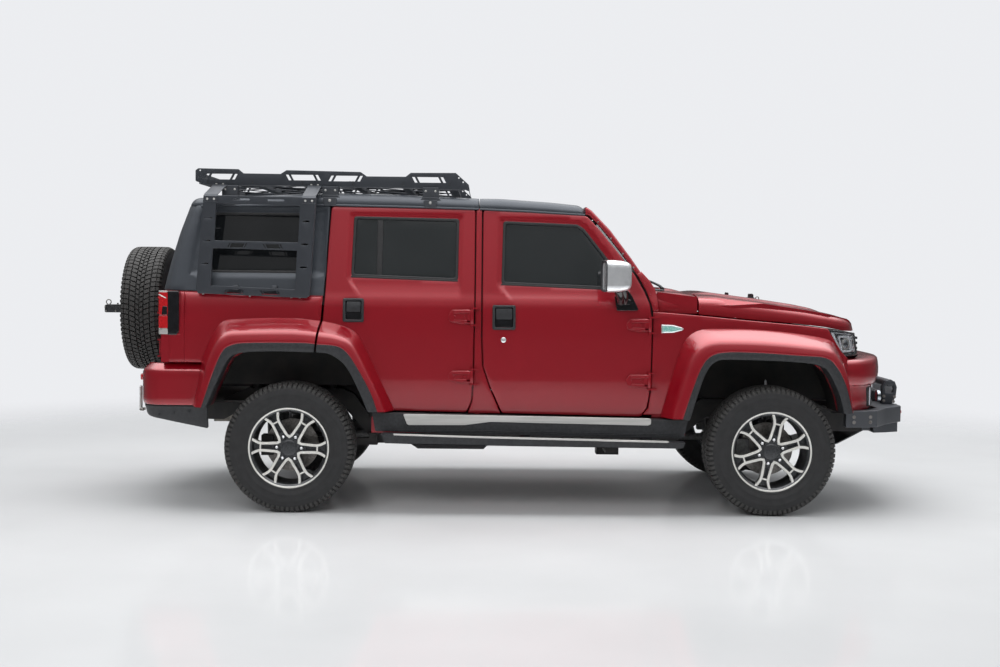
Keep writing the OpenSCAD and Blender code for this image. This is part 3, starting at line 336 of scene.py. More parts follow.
def smooth_line(pts, n, closed=False, tension=0.5):
    """n points spread evenly along a Catmull-Rom curve through pts."""
    p = [np.array(q, float) for q in pts]
    k = len(p)
    fine = []
    for i in range(k if closed else k - 1):
        p0 = p[(i - 1) % k] if closed or i else 2 * p[0] - p[1]
        p3 = p[(i + 2) % k] if closed or i < k - 2 else 2 * p[-1] - p[-2]
        p1, p2 = p[i], p[(i + 1) % k]
        for t in np.linspace(0, 1, 24, endpoint=False):
            a = 2 * p1 + (p2 - p0) * t * 2 * tension
            b = (2 * p0 - 5 * p1 + 4 * p2 - p3) * t * t * 2 * tension
            c = (3 * p1 - p0 - 3 * p2 + p3) * t ** 3 * 2 * tension
            if tension == 0.5:
                fine.append((a + b + c) / 2)
            else:
                fine.append(p1 * (1 - t) + p2 * t)
    fine.append(p[0] if closed else p[-1])
    fine = np.array(fine)
    d = np.concatenate([[0], np.cumsum(np.linalg.norm(np.diff(fine, axis=0), axis=1))])
    at = np.linspace(0, d[-1], n + 1)[:-1] if closed else np.linspace(0, d[-1], n)
    return np.stack([np.interp(at, d, fine[:, j]) for j in range(fine.shape[1])], axis=1)


def resample(pts, step, closed=True):
    """Straight-sided line with extra points so that no side is longer than step."""
    out, k = [], len(pts)
    for i in range(k if closed else k - 1):
        a, b = np.array(pts[i], float), np.array(pts[(i + 1) % k], float)
        m = max(1, int(math.ceil(np.linalg.norm(b - a) / step)))
        out += [tuple(a + (b - a) * j / m) for j in range(m)]
    if not closed:
        out.append(tuple(pts[-1]))
    return out


def rounded(pts, r, n=5):
    """Closed polygon with its corners rounded to radius r, as far as the sides allow."""
    out, k = [], len(pts)
    for i in range(k):
        a, b, c = (np.array(pts[j % k], float) for j in (i - 1, i, i + 1))
        u, v = a - b, c - b
        lu, lv = np.linalg.norm(u), np.linalg.norm(v)
        u, v = u / lu, v / lv
        cosang = float(np.clip(u @ v, -0.9999, 0.9999))
        half = math.acos(cosang) / 2
        cut = min(r / math.tan(half), 0.45 * lu, 0.45 * lv)
        if math.pi - 2 * half < 0.12:
            out.append(tuple(b))
            continue
        for t in np.linspace(0, 1, n):
            p = (1 - t) ** 2 * (b + u * cut) + 2 * t * (1 - t) * b + t * t * (b + v * cut)
            out.append(tuple(p))
    return out


def inside(pts, poly):
    """True for each of pts that lies inside the polygon."""
    x, y = pts[:, 0], pts[:, 1]
    res = np.zeros(len(pts), bool)
    k = len(poly)
    for i in range(k):
        (x0, y0), (x1, y1) = poly[i - 1], poly[i]
        if y0 == y1:
            continue
        cross = ((y0 > y) != (y1 > y)) & (x < (x1 - x0) * (y - y0) / (y1 - y0) + x0)
        res ^= cross
    return res


def distance(pts, loops, closed=True):
    """Distance of each of pts to the nearest side of any of the loops."""
    best = np.full(len(pts), 1e9)
    for loop in loops:
        a = np.array(loop, float)
        b = np.roll(a, -1, axis=0)
        if not closed:
            a, b = a[:-1], b[:-1]
        for p, q in zip(a, b):
            d = q - p
            t = np.clip(((pts - p) @ d) / max(d @ d, 1e-9), 0, 1)
            best = np.minimum(best, np.linalg.norm(pts - p - t[:, None] * d, axis=1))
    return best


def offset(loop, d, closed=True):
    """The loop moved sideways by d, to the left of its direction."""
    a = np.array(loop, float)
    nxt, prv = np.roll(a, -1, axis=0) - a, a - np.roll(a, 1, axis=0)
    if not closed:
        nxt[-1], prv[0] = prv[-1], nxt[0]
    nxt /= np.linalg.norm(nxt, axis=1)[:, None] + 1e-12
    prv /= np.linalg.norm(prv, axis=1)[:, None] + 1e-12
    n1, n2 = np.stack([-nxt[:, 1], nxt[:, 0]], 1), np.stack([-prv[:, 1], prv[:, 0]], 1)
    m = n1 + n2
    m /= np.linalg.norm(m, axis=1)[:, None] + 1e-12
    scale = 1 / np.maximum(np.sum(m * n1, axis=1), 0.5)
    return [tuple(p) for p in a + m * (d * scale)[:, None]]


def turning(loop):
    a = np.array(loop)
    b = np.roll(a, -1, axis=0)
    return float(np.sum(a[:, 0] * b[:, 1] - b[:, 0] * a[:, 1]))


def skin(outline, holes, place, step=25.0, depth=8.0, rim=3.5, extra=(), steps=(0.0, 0.12, 0.45, 1.0),
         flip=False):
    """A closed shell over a 2D region: place(u, v) gives points of its outer face and depth is its thickness.

    Its edges, also those of its holes, are rounded over rim millimetres. extra are lines that its triangles
    follow."""
    loops = [list(outline) if turning(outline) > 0 else list(outline)[::-1]]
    loops += [list(h) if turning(h) < 0 else list(h)[::-1] for h in holes]
    loops = [resample(p, step) for p in loops]
    pts, cons = [], []

    def line(p, closed=True):
        s = len(pts)
        pts.extend(p)
        k = len(p)
        cons.extend((s + i, s + (i + 1) % k) for i in range(k if closed else k - 1))

    for loop in loops:
        for k in steps:
            line(offset(loop, rim * k) if k else loop)
    for e in extra:
        line(resample(e, step, closed=False), closed=False)
    lo, hi = np.min(np.array(loops[0]), axis=0), np.max(np.array(loops[0]), axis=0)
    gx, gy = np.meshgrid(np.arange(lo[0], hi[0], step), np.arange(lo[1], hi[1], step * 0.87))
    gx = gx + (np.arange(gx.shape[0]) % 2)[:, None] * step / 2
    grid = np.stack([gx.ravel(), gy.ravel()], 1)
    keep = inside(grid, loops[0])
    for h in loops[1:]:
        keep &= ~inside(grid, h)
    grid = grid[keep]
    grid = grid[distance(grid, loops) > rim + step * 0.4]
    if len(extra) and len(grid):
        grid = grid[distance(grid, [np.array(e) for e in extra], closed=False) > step * 0.35]
    pts.extend(map(tuple, grid))
    out = delaunay_2d_cdt([Vector(p) for p in pts], cons, [], 0, 1e-4)
    v = np.array([tuple(p) for p in out[0]])
    tris = np.array([f for f in out[2] if len(f) == 3])
    mid = v[tris].mean(axis=1)
    keep = inside(mid, loops[0])
    for h in loops[1:]:
        keep &= ~inside(mid, h)
    tris = tris[keep]
    used = np.unique(tris)
    index = np.full(len(v), -1)
    index[used] = np.arange(len(used))
    v, tris = v[used], index[tris]
    d = np.clip(distance(v, loops), 0, rim)
    fall = rim - np.sqrt(np.maximum(rim ** 2 - (rim - d) ** 2, 0)) if rim else d * 0
    p = np.array(place(v[:, 0], v[:, 1])).T
    e = 0.5
    du = np.array(place(v[:, 0] + e, v[:, 1])).T - p
    dv = np.array(place(v[:, 0], v[:, 1] + e)).T - p
    normal = np.cross(du, dv)
    normal /= np.linalg.norm(normal, axis=1)[:, None] + 1e-12
    if flip:
        normal = -normal
    dep = depth(v[:, 0], v[:, 1]) if callable(depth) else np.full(len(v), float(depth))
    front = p - normal * fall[:, None]
    back = p - normal * np.maximum(dep, rim + 0.5)[:, None]
    k = len(v)
    a, b, c = p[tris[:, 0]], p[tris[:, 1]], p[tris[:, 2]]
    facing = np.sum(np.cross(b - a, c - a) * normal[tris[:, 0]], axis=1) > 0
    tris = np.where(facing[:, None], tris, tris[:, ::-1])
    edges = {}
    for t in tris.tolist():
        for i in range(3):
            edges[(t[i], t[(i + 1) % 3])] = True
    rims = [(s, t) for s, t in edges if (t, s) not in edges]
    faces = tris.tolist() + [[t[2] + k, t[1] + k, t[0] + k] for t in tris.tolist()]
    faces += [[t, s, s + k, t + k] for s, t in rims]
    return Geo().add(np.vstack([front, back]), faces)


def loft(rows, closed=False, caps=False):
    """Quads between rows of points; every row has the same number."""
    rows = np.array(rows, float)
    m, k = rows.shape[:2]
    faces = []
    for i in range(m - 1):
        for j in range(k if closed else k - 1):
            faces.append([i * k + j, i * k + (j + 1) % k, (i + 1) * k + (j + 1) % k, (i + 1) * k + j])
    if caps:
        faces += [list(range(k))[::-1], list(range((m - 1) * k, m * k))]
    return Geo().add(rows.reshape(-1, 3), faces)


def bolt(g, at, axis, r=7.0, h=5.0, sides=6):
    """Small bolt head on a washer, standing out along axis."""
    at, axis = Vector(at), Vector(axis).normalized()
    g.tube([at - axis * 2, at + axis * h * 0.3], r * 1.35, 14)
    g.tube([at + axis * h * 0.3, at + axis * h * 0.85, at + axis * h], [r, r, r * 0.75], sides)

# ---- wheels ----------------------------------------------------------------------------
# A wheel is made about the Y axis with its outer face towards -Y.
def tyre_geo(radius):
    k = radius - TYRE_R
    side = [(219, -104), (224, -112), (231, -117.5), (240, -119), (246, -118), (252, -121.5), (262, -123),
            (266, -124.6),
            (272, -124.6), (276, -123.6), (298 + k, -124.4), (301 + k, -125), (308 + k, -125),
            (311 + k, -123.8),
            (324 + k, -122), (335 + k, -119.5), (345 + k, -113), (353 + k, -104), (358 + k, -92),
            (360 + k, -80)]
    inner = [(360 + k, 80)] + [(r, -y) for r, y in side[::-1]][1:]
    # four grooves run round the tread
    grooves = []
    for y in (-62, -24, 24, 62):
        grooves += [(360 + k, y - 4), (358 + k, y - 3), (358 + k, y + 3), (360 + k, y + 4)]
    g = Geo().lathe(side + grooves + inner + [(214, 100), (214, -100)], 120)
    pitches = 78
    step = 2 * math.pi / pitches

    def block(corners, drop=(0, 0, 0, 0)):
        """Corners are (angle in pitches, y); drop lowers each corner of the top."""
        low, tip = [], []
        for (q, y), dz in zip(corners, drop):
            a = q * step
            low.append(((radius - 13 - dz) * math.cos(a), y, (radius - 13 - dz) * math.sin(a)))
            tip.append(((radius - dz) * math.cos(a), y, (radius - dz) * math.sin(a)))
        c = np.mean(tip, axis=0)
        tip2 = [tuple(np.array(t) * 0.93 + c * 0.07) for t in tip]
        faces = [[4, 5, 6, 7], [0, 1, 5, 4], [1, 2, 6, 5], [2, 3, 7, 6], [3, 0, 4, 7], [3, 2, 1, 0]]
        v = low + tip2
        n = np.cross(np.array(v[5]) - v[4], np.array(v[7]) - v[4])
        if n @ np.array(v[4]) < 0:
            faces = [f[::-1] for f in faces]
        g.add(v, faces)

    for i in range(pitches):
        for s in (-1, 1):
            o = 0.5 if s > 0 else 0.0
            # centre, middle and shoulder blocks, swept back in a V
            block([(i + o, 2 * s), (i + o + 0.70, 3 * s), (i + o + 1.02, 21 * s), (i + o + 0.28, 22 * s)])
            block([(i + o + 0.55, 27 * s), (i + o + 1.30, 26 * s), (i + o + 1.78, 58 * s),
                   (i + o + 0.96, 60 * s)])
            block([(i + o + 1.10, 65 * s), (i + o + 1.92, 64 * s), (i + o + 2.06, 92 * s),
                   (i + o + 1.22, 93 * s)],
                  (0, 0, 1.2, 1.2))
            block([(i + o + 1.25, 95 * s), (i + o + 2.07, 94 * s), (i + o + 2.12, 112 * s),
                   (i + o + 1.30, 113 * s)],
                  (1.5, 1.5, 11, 11))
            block([(i + o + 1.36, 114.5 * s), (i + o + 1.98, 114.5 * s), (i + o + 1.94, 120.5 * s),
                   (i + o + 1.44, 120.5 * s)],
                  (13, 13, 22, 22))
    return g


def spun(pts, a):
    c, s = math.cos(a), math.sin(a)
    return [(x * c - z * s, x * s + z * c) for x, z in pts]


def rim_geos():
    """Machined faces, dark body and black wells of one alloy wheel, and its nuts."""
    curve = smooth_line([(0, 72), (9, 79), (30, 110), (51, 143), (58.5, 160), (61.5, 180), (61.5, 205)], 16)
    window = [tuple(p) for p in curve] + [(40, 211), (20, 213.5), (0, 214.5)]
    window = window + [(-x, z) for x, z in window[::-1] if abs(x) > 0.01]
    edge = [tuple(p)
            for p in smooth_line([(0, 72), (9, 79), (30, 110), (51, 143), (58.5, 160), (61.5, 180),
                                  (61.5, 221)], 22)]
    ribbon_in = edge[::-1] + [(-x, z) for x, z in edge[1:]]
    ribbon_out = offset(ribbon_in, 14.5, closed=False)
    silver, dark, nuts = Geo(), Geo(), Geo()
    holes = []
    for i in range(6):
        a = math.radians(60 * i)
        b = a + math.radians(30) - math.pi / 2
        k = len(ribbon_in)
        inner, outer = spun(ribbon_in, b), spun(ribbon_out, b)
        # a ribbon with a softly crowned face, edges falling back
        rows = []
        for t in range(k):
            p, q = np.array(inner[t]), np.array(outer[t])
            r = np.linalg.norm((p + q) / 2)
            face = -104.0 - 6.0 * (r / 220) + (3 if r < 90 else 0)
            sec = []
            for w, y in ((0, face + 26), (0, face + 1.8), (0.10, face), (0.90, face), (1.0, face + 1.8),
                         (1.0, face + 14)):
                m = p + (q - p) * w
                sec.append((m[0], y, m[1]))
            rows.append(sec)
        silver.join(loft(rows, closed=True, caps=True))
        # the short bridge between two ribbons
        bridge = spun([(157, -13.5), (165, -13.5), (165, 13.5), (157, 13.5)], a)
        silver.prism("y", -108.0, -96, bridge)
        holes.append(spun(window, b))
        holes.append([(STUD_R * math.cos(a) + 15.5 * math.cos(t), STUD_R * math.sin(a) + 15.5 * math.sin(t))
                      for t in np.linspace(0, 2 * math.pi, 20, endpoint=False)])
        at = (STUD_R * math.cos(a), -84, STUD_R * math.sin(a))
        nuts.tube([at, (at[0], -96, at[2]), (at[0], -99, at[2])], [10.5, 10.5, 8], 6)
        nuts.tube([(at[0], -95, at[2]), (at[0], -103, at[2]), (at[0], -105, at[2])], [6.5, 6.5, 4], 12)
    for i in range(6):
        a = math.radians(60 * i)
        holes.append(spun(rounded([(96, -9.5), (96, 9.5), (152, 10), (152, -10)], 4), a))
        holes.append(spun(rounded([(171, -7), (171, 7), (214, 31), (215.5, 0), (214, -31)], 4), a))
    outer = [(218 * math.cos(t), 218 * math.sin(t)) for t in np.linspace(0, 2 * math.pi, 96, endpoint=False)]

    def face(u, v):
        r = np.hypot(u, v)
        return u, -(93 + 6 * r / 220) + np.where(r < 100, (100 - r) * 0.02, 0), v

    dark.join(skin(outer, holes, face, 16, depth=lambda u,
                   v: 22 + 26 * np.clip((150 - np.hypot(u, v)) / 90, 0, 1), rim=1.5))
    # floors of the twin slots and pockets
    dark.join(skin(outer, holes[0:12:2], lambda u, v: (u, u * 0 - 76.0, v), 24, depth=10, rim=1.0))
    barrel = [(205, -100), (213, -110), (221, -113), (224, -108), (219, -104), (219, -72), (208, -56),
              (207, 45), (219, 62),
              (219, 104), (231, 108), (231, 113), (214, 114), (207, 98), (201, 60), (199, 45), (199, -56),
              (203, -76)]
    dark.lathe(barrel[::-1], 96)
    lip = [(220, -113.2), (222, -115.2), (229, -116.2), (231.8, -114.5), (231.8, -108), (224, -107)]
    silver.lathe(lip[::-1], 96)
    # lug wells and hub
    for i in range(6):
        a = math.radians(60 * i)
        cup = [(15.5, -95.2), (17.5, -96.2), (18.6, -95), (17.8, -60), (2, -60), (2, -63), (15.2, -63)]
        m = Matrix.Translation((STUD_R * math.cos(a), 0, STUD_R * math.sin(a)))
        dark.join(Geo().lathe(cup[::-1], 20).turned(m))
    cap = [(0.01, -101), (30, -101), (39, -100), (44, -97), (46, -90), (46, -78), (0.01, -78)]
    dark.lathe(cap[::-1], 48)
    dark.lathe([(22, -60), (60, -60), (78, -52), (78, 4), (22, 4)][::-1], 48)
    return silver, dark, nuts


def disc_geo():
    """Brake disc with its drilled face and hat, behind the spokes."""
    g = Geo()
    g.lathe([(60, 40), (152, 40), (152, 47), (140, 47), (140, 54), (152, 54), (152, 61), (60, 61)][::-1], 72)
    g.lathe([(21, 2), (56, 2), (58, 6), (58, 60), (54, 72), (21, 72)][::-1], 48)
    for i in range(24):
        for r in (104, 128):
            a = 2 * math.pi * (i + (r > 110) * 0.5) / 24
            g.tube([(r * math.cos(a), 40.4, r * math.sin(a)), (r * math.cos(a), 38.8, r * math.sin(a))], 4, 8)
    return g


tyre_road, tyre_spare = tyre_geo(TYRE_R), tyre_geo(SPARE_R)
silver, dark, nuts = rim_geos()
disc = disc_geo()
valve = Geo().tube([(0, -106, 208), (0, -122, 203), (0, -128, 200)], [4, 3.6, 3.2], 10)


def set_wheel(tag, matrix, body, tyre, discs=True):
    spare = tag == "spare"
    names = ("spare_tyre", "spare_rim") if spare else (f"tyre_{tag}", f"rim_{tag}")
    make(f"{names[0]}_tread", tyre.turned(matrix), RUBBER, body, slot="tyre_rubber", replaces=[names[0]],
         smooth=40)
    make(f"{names[1]}_faces", silver.turned(matrix), MACHINED, body, slot="rim_alloy", replaces=[names[1]],
         smooth=35)
    make(f"{names[1]}_body", dark.turned(matrix), GUNMETAL, body, slot="rim_alloy", smooth=35)
    make(f"{names[1]}_nuts", nuts.turned(matrix), CHROME, body, smooth=30)
    make(f"{names[1]}_valve", valve.turned(matrix), SEAL, body)
    if discs:
        make(f"{names[1]}_brake_disc", disc.turned(matrix), DISC, body, smooth=35)


for tag, x, s, turn in (("front_right", FX, -1, -17), ("front_left", FX, 1, 11), ("rear_right", RX, -1, 2),
                        ("rear_left", RX, 1, 23)):
    place = Matrix.Translation((x, s * HUB_Y, HUB_Z)) @ (MIRROR if s > 0 else Matrix.Identity(4))
    set_wheel(tag, place @ Matrix.Rotation(math.radians(turn), 4, "Y"), f"wheel_{tag}", tyre_road)
set_wheel("spare", Matrix.Translation(SPARE) @ Matrix.Rotation(-math.pi / 2, 4, "Z"), "tailgate",
          tyre_spare, False)

# ---- body sides ------------------------------------------------------------------------
SIDE_Z = [380, 430, 600, 700, 760, 1010, 1100, 1180, 1215, 1250, 1765, 1800]
SIDE_T = [26, 22, 10.5, 3.5, 0.4, 0, 3.2, 8, 14.5, 24, 122, 128]
PROUD = 3.5


def lean(z):
    """How far the cabin side lies inside its widest line at height z."""
    return np.interp(z, SIDE_Z, SIDE_T)


def sill(x):
    return 574 - (x + 2278) * 0.0166


def step01(t):
    t = np.clip(t, 0, 1)
    return t * t * (3 - 2 * t)


def on_side(proud=PROUD, detail=None):
    def place(u, v):
        y = -(W + proud - lean(v))
        if detail is not None:
            y = y + detail(u, v)
        return FX + u, y, v
    return place


def recess(poly, z_low, z_high, deep=7.0, ramp=9.0):
    """Pressed field around a window, which fades out below z_high and is gone at z_low."""
    def detail(u, v):
        u, v = np.asarray(u, float), np.asarray(v, float)
        p = np.stack([u.ravel(), v.ravel()], 1)
        d = distance(p, [poly]) * np.where(inside(p, poly), 1, -1)
        return (deep * step01((d + ramp / 2) / ramp) * step01((p[:,
            1] - z_low) / (z_high - z_low))).reshape(u.shape)
    return detail


FRONT_DOOR = [(-681, 1100), (-681, 1040), (-683, 880), (-688, 712), (-703, 610), (-740, sill(-740) + 7),
              (-1536, sill(-1536) + 7), (-1606, 725), (-1645, 840), (-1652, 989), (-1653, 1250),
              (-1653, 1738),
              (-1384, 1727), (-1072, 1709), (-1050, 1702), (-982, 1630), (-867, 1488), (-776, 1364),
              (-723, 1272),
              (-693, 1198)]
FRONT_WINDOW = [(-1537, 1672), (-1110, 1657), (-1068, 1630), (-911, 1430), (-826, 1300), (-832, 1284),
                (-1545, 1309)]
REAR_DOOR = [(-1699, 1740), (-1699, 1217), (-1703, 988), (-1705, 816), (-1712, 643), (-1740, sill(-1740) + 7),
             (-2300, sill(-2300) + 7), (-2350, 707), (-2424, 842), (-2509, 905), (-2583, 925), (-2583, 939),
             (-2566, 1083), (-2557, 1200), (-2555, 1232), (-2540, 1552), (-2529, 1749)]
REAR_WINDOW = [(-1792, 1683), (-2398, 1692), (-2408, 1346), (-1796, 1326)]
FRONT_FIELD = [(-1553, 1688), (-1561, 1308), (-1470, 1190), (-948, 1190), (-846, 1270), (-808, 1284),
               (-896, 1438),
               (-1056, 1644), (-1104, 1673)]
REAR_FIELD = [(-2414, 1708), (-2424, 1332), (-2330, 1196), (-1777, 1196), (-1780, 1310), (-1776, 1699)]


HANDLES = {"front": (-1596, -1463, 1048, 1190), "rear": (-2451, -2331, 1085, 1222)}


def handle_pocket(tag):
    x0, x1, z0, z1 = HANDLES[tag]
    return rounded([(x0 + 16, z0 + 14), (x1 - 14, z0 + 14), (x1 - 14, z1 - 14), (x0 + 16, z1 - 14)], 10)


def door(tag, line, window, field, z_low, z_high):
    bodies = (f"{tag}_door_right", f"{tag}_door_left")
    detail = recess(field, z_low, z_high)
    crease_in = offset(field, 5 if turning(field) > 0 else -5)
    crease_out = offset(field, -5 if turning(field) > 0 else 5)
    hole = rounded(window, 18)
    outer = skin(rounded(line, 22), [hole, handle_pocket(tag)], on_side(PROUD, detail), 20, depth=10, rim=4.5,
                 extra=[crease_in + crease_in[:1], crease_out + crease_out[:1]])
    make_pair(f"{tag}_door_skin", outer, PAINT, bodies, replaces=[f"{tag}_door_*"], slot="body_paint",
              smooth=50)
    # door body behind the skin, and its trim facing the cabin
    deep = lambda u, v: np.interp(v, [500, 1180, 1250, 1765], [84, 84, 46, 40])
    inset = offset(line, -4 if turning(line) < 0 else 4)
    body = skin(inset, [hole], on_side(PROUD - 10.5), 90, depth=deep, rim=2)
    make_pair(f"{tag}_door_shell", body, PAINT, bodies, slot="body_paint", smooth=40)
    xs = [p[0] for p in line]
    x0, x1 = min(xs) + 90, max(xs) - 60
    if tag == "rear":
        x0 += 120
    card_line = rounded([(x0 + (160 if tag == "rear" else 60), 640), (x0, 1000), (x0, 1250),
                         (x1 - 20, 1250), (x1 - 10, 900),
                         (x1 - 60, 640)], 40)
    card = skin(card_line, [], lambda u, v: (FX + u, -(W - 92 - lean(v)) + 0 * u, v), 60, depth=7, rim=3,
                flip=True)
    make_pair(f"{tag}_door_card", card, DASH, bodies, slot="cabin_plastic", smooth=50)
    rest = Geo()
    zc = 960
    rest.prism("y", -(W - 92), -(W - 132), rounded([(FX + x0 + 140, zc), (FX + x0 + 130, zc + 42),
                                                    (FX + x1 - 160, zc + 52), (FX + x1 - 150, zc + 8)], 16))
    make_pair(f"{tag}_armrest", rest, LEATHER, bodies, bevel=8, seg=3, slot="seat_leather")
    pull = Geo().tube([(FX + x1 - 190, -(W - 97), 1120), (FX + x1 - 190, -(W - 112), 1120),
                       (FX + x1 - 110, -(W - 112), 1126),
                       (FX + x1 - 110, -(W - 97), 1126)], 7, 10)
    make_pair(f"{tag}_inner_handle", pull, CHROME, bodies)
    # glass and its seals
    glass_line = rounded(offset(window, 14 if turning(window) < 0 else -14), 22)
    pane = skin(glass_line, [], on_side(-13.0), 60, depth=4, rim=0.6)
    make_pair(f"{tag}_window_pane", pane, GLASS, bodies, replaces=[f"{tag}_glass_*"], slot="tinted_glass",
              smooth=60)
    out_line = rounded(offset(window, -1 if turning(window) > 0 else 1), 18)
    in_line = rounded(offset(window, 15 if turning(window) > 0 else -15), 14)
    seal = skin(out_line, [in_line], on_side(-4.2), 40, depth=10, rim=3.0)
    make_pair(f"{tag}_window_seal", seal, SEAL, bodies, smooth=60)


door("front", FRONT_DOOR, FRONT_WINDOW, FRONT_FIELD, 1192, 1296)
door("rear", REAR_DOOR, REAR_WINDOW, REAR_FIELD, 1218, 1312)

# bright waist strips under the windows, the divider of the rear window
for tag, line in (("front", [(-1546, 1313), (-832, 1287), (-834, 1279), (-1548, 1304)]),
                  ("rear", [(-2410, 1350), (-1795, 1330), (-1796, 1321), (-2411, 1340)])):
    strip = skin(line, [], on_side(-0.6), 40, depth=5, rim=1.5)
    make_pair(f"{tag}_waist_seal", strip, SEAL, (f"{tag}_door_right", f"{tag}_door_left"))
divider = skin([(-2262, 1686), (-2230, 1686), (-2232, 1340), (-2264, 1341)], [], on_side(-9.0), 60, depth=8,
               rim=2)
make_pair("rear_window_bar", divider, SEAL, ("rear_door_right", "rear_door_left"))

# centre pillar strip between the doors
PILLAR = [(-1692.5, 1744), (-1692.5, 1217), (-1696.5, 988), (-1698.5, 816), (-1705.5, 643), (-1731, 570),
          (-1545, 567),
          (-1613, 725), (-1652, 840), (-1659, 989), (-1660, 1250), (-1660, 1744)]
make_both("pillar_strip", skin(PILLAR, [], on_side(PROUD), 30, depth=40, rim=3), PAINT, slot="body_paint",
          smooth=50)

# front wing and rear quarter
FRONT_LIP = [(-514, 556), (-465, 712), (-411, 854), (-355, 917), (-265, 938), (-84, 936), (142, 922),
             (284, 912),
             (347, 867), (406, 760), (449, 600)]
FRONT_OUT = [(-625, 556), (-576, 742), (-521, 926), (-477, 1012), (-409, 1056), (-294, 1066), (-65, 1062),
             (165, 1041),
             (338, 1008), (383, 955), (429, 872), (452, 757), (462, 600)]
FRONT_OPEN = [(-473, 549), (-420, 724), (-382, 826), (-332, 883), (-253, 895), (86, 887), (257, 866),
              (314, 816),
              (373, 697), (399, 594)]
WING = [(-674.5, 1158), (-600, 1154), (-414, 1140), (-164, 1117), (184, 1088), (331, 1071), (366, 1010),
        (413, 938),
        (444, 906), (446, 850), (430, 760), (406, 760), (347, 867), (284, 912), (142, 922), (-84, 936),
        (-265, 938),
        (-355, 917), (-411, 854), (-465, 712), (-512, 562), (-728, 566), (-696, 606), (-681.5, 712),
        (-676.5, 880),
        (-674.5, 1040)]
def wing_step(u, v):
    return 8.0 * step01((u + 660) / 260) + 0 * v


wing = skin(WING, [], on_side(PROUD, wing_step), 28, depth=9, rim=4)
make_both("wing_skin", wing, PAINT, slot="body_paint", smooth=50)
QUARTER = [(-2576, 1226), (-3379, 1248), (-3379, 1006), (-3486, 1004), (-3487, 850), (-3252, 850),
           (-3215, 800),
           (-3160, 820), (-3115, 914), (-3059, 954), (-2958, 967), (-2677, 969), (-2602, 966), (-2586, 1083)]
quarter = skin(QUARTER, [], on_side(PROUD, lambda u, v: 26 * np.clip((-3420 - u) / 70, 0, 1) ** 2 + 0 * v),
               28, depth=9,
               rim=4)
make_both("quarter_skin", quarter, PAINT, slot="body_paint", smooth=50)

# windscreen pillar, with its bolted foot
A_PILLAR = [(-1052, 1756), (-1026, 1738), (-920, 1626), (-802, 1468), (-742, 1381), (-684, 1318),
            (-655, 1260),
            (-648, 1166), (-672, 1166), (-685, 1204), (-713, 1280), (-766, 1375), (-857, 1500), (-972, 1644),
            (-1040, 1715), (-1060, 1722), (-1060, 1756)]
make_both("pillar_skin", skin(A_PILLAR, [], on_side(PROUD), 26, depth=9, rim=7), PAINT, slot="body_paint",
          smooth=60)
FOOT = [(-742, 1390), (-694, 1338), (-664, 1290), (-650, 1230), (-645, 1168), (-672, 1168), (-688, 1216),
        (-714, 1282),
        (-752, 1352), (-768, 1372)]
foot = skin(FOOT, [], on_side(PROUD + 5), 26, depth=6, rim=3)
for x, z in ((-741, 1358), (-722, 1320), (-690, 1256), (-668, 1199)):
    bolt(foot, (FX + x, -(W + PROUD + 4 - float(lean(z))), z), (0, -1, 0.1), 5.5, 5)
make_both("pillar_foot", foot, PAINT, slot="body_paint", smooth=40)

# ---- flares: a painted two-facet form with a black grained lip ---------------------------
REAR_OUT_A = [(-3305, 600), (-3262, 800), (-3250, 878), (-3193, 1010), (-3136, 1079), (-3057, 1097),
              (-2749, 1105),
              (-2580, 1091)]
REAR_LIP_A = [(-3233, 600), (-3171, 784), (-3115, 914), (-3059, 954), (-2958, 967), (-2677, 969),
              (-2596, 963)]
REAR_OPEN_A = [(-3207, 600), (-3143, 745), (-3081, 870), (-3014, 908), (-2846, 920), (-2601, 916)]
REAR_OUT_B = [(-2566, 1090), (-2465, 1068), (-2373, 1023), (-2316, 927), (-2235, 756), (-2165, 607),
              (-2155, 582)]
REAR_LIP_B = [(-2583, 962), (-2481, 954), (-2424, 926), (-2362, 842), (-2282, 696), (-2240, 582)]
REAR_OPEN_B = [(-2587, 915), (-2509, 905), (-2424, 842), (-2350, 707), (-2297, 582)]


def flare_rows(out, lip, op, n=56):
    return [smooth_line(c, n) for c in (out, lip, op)]


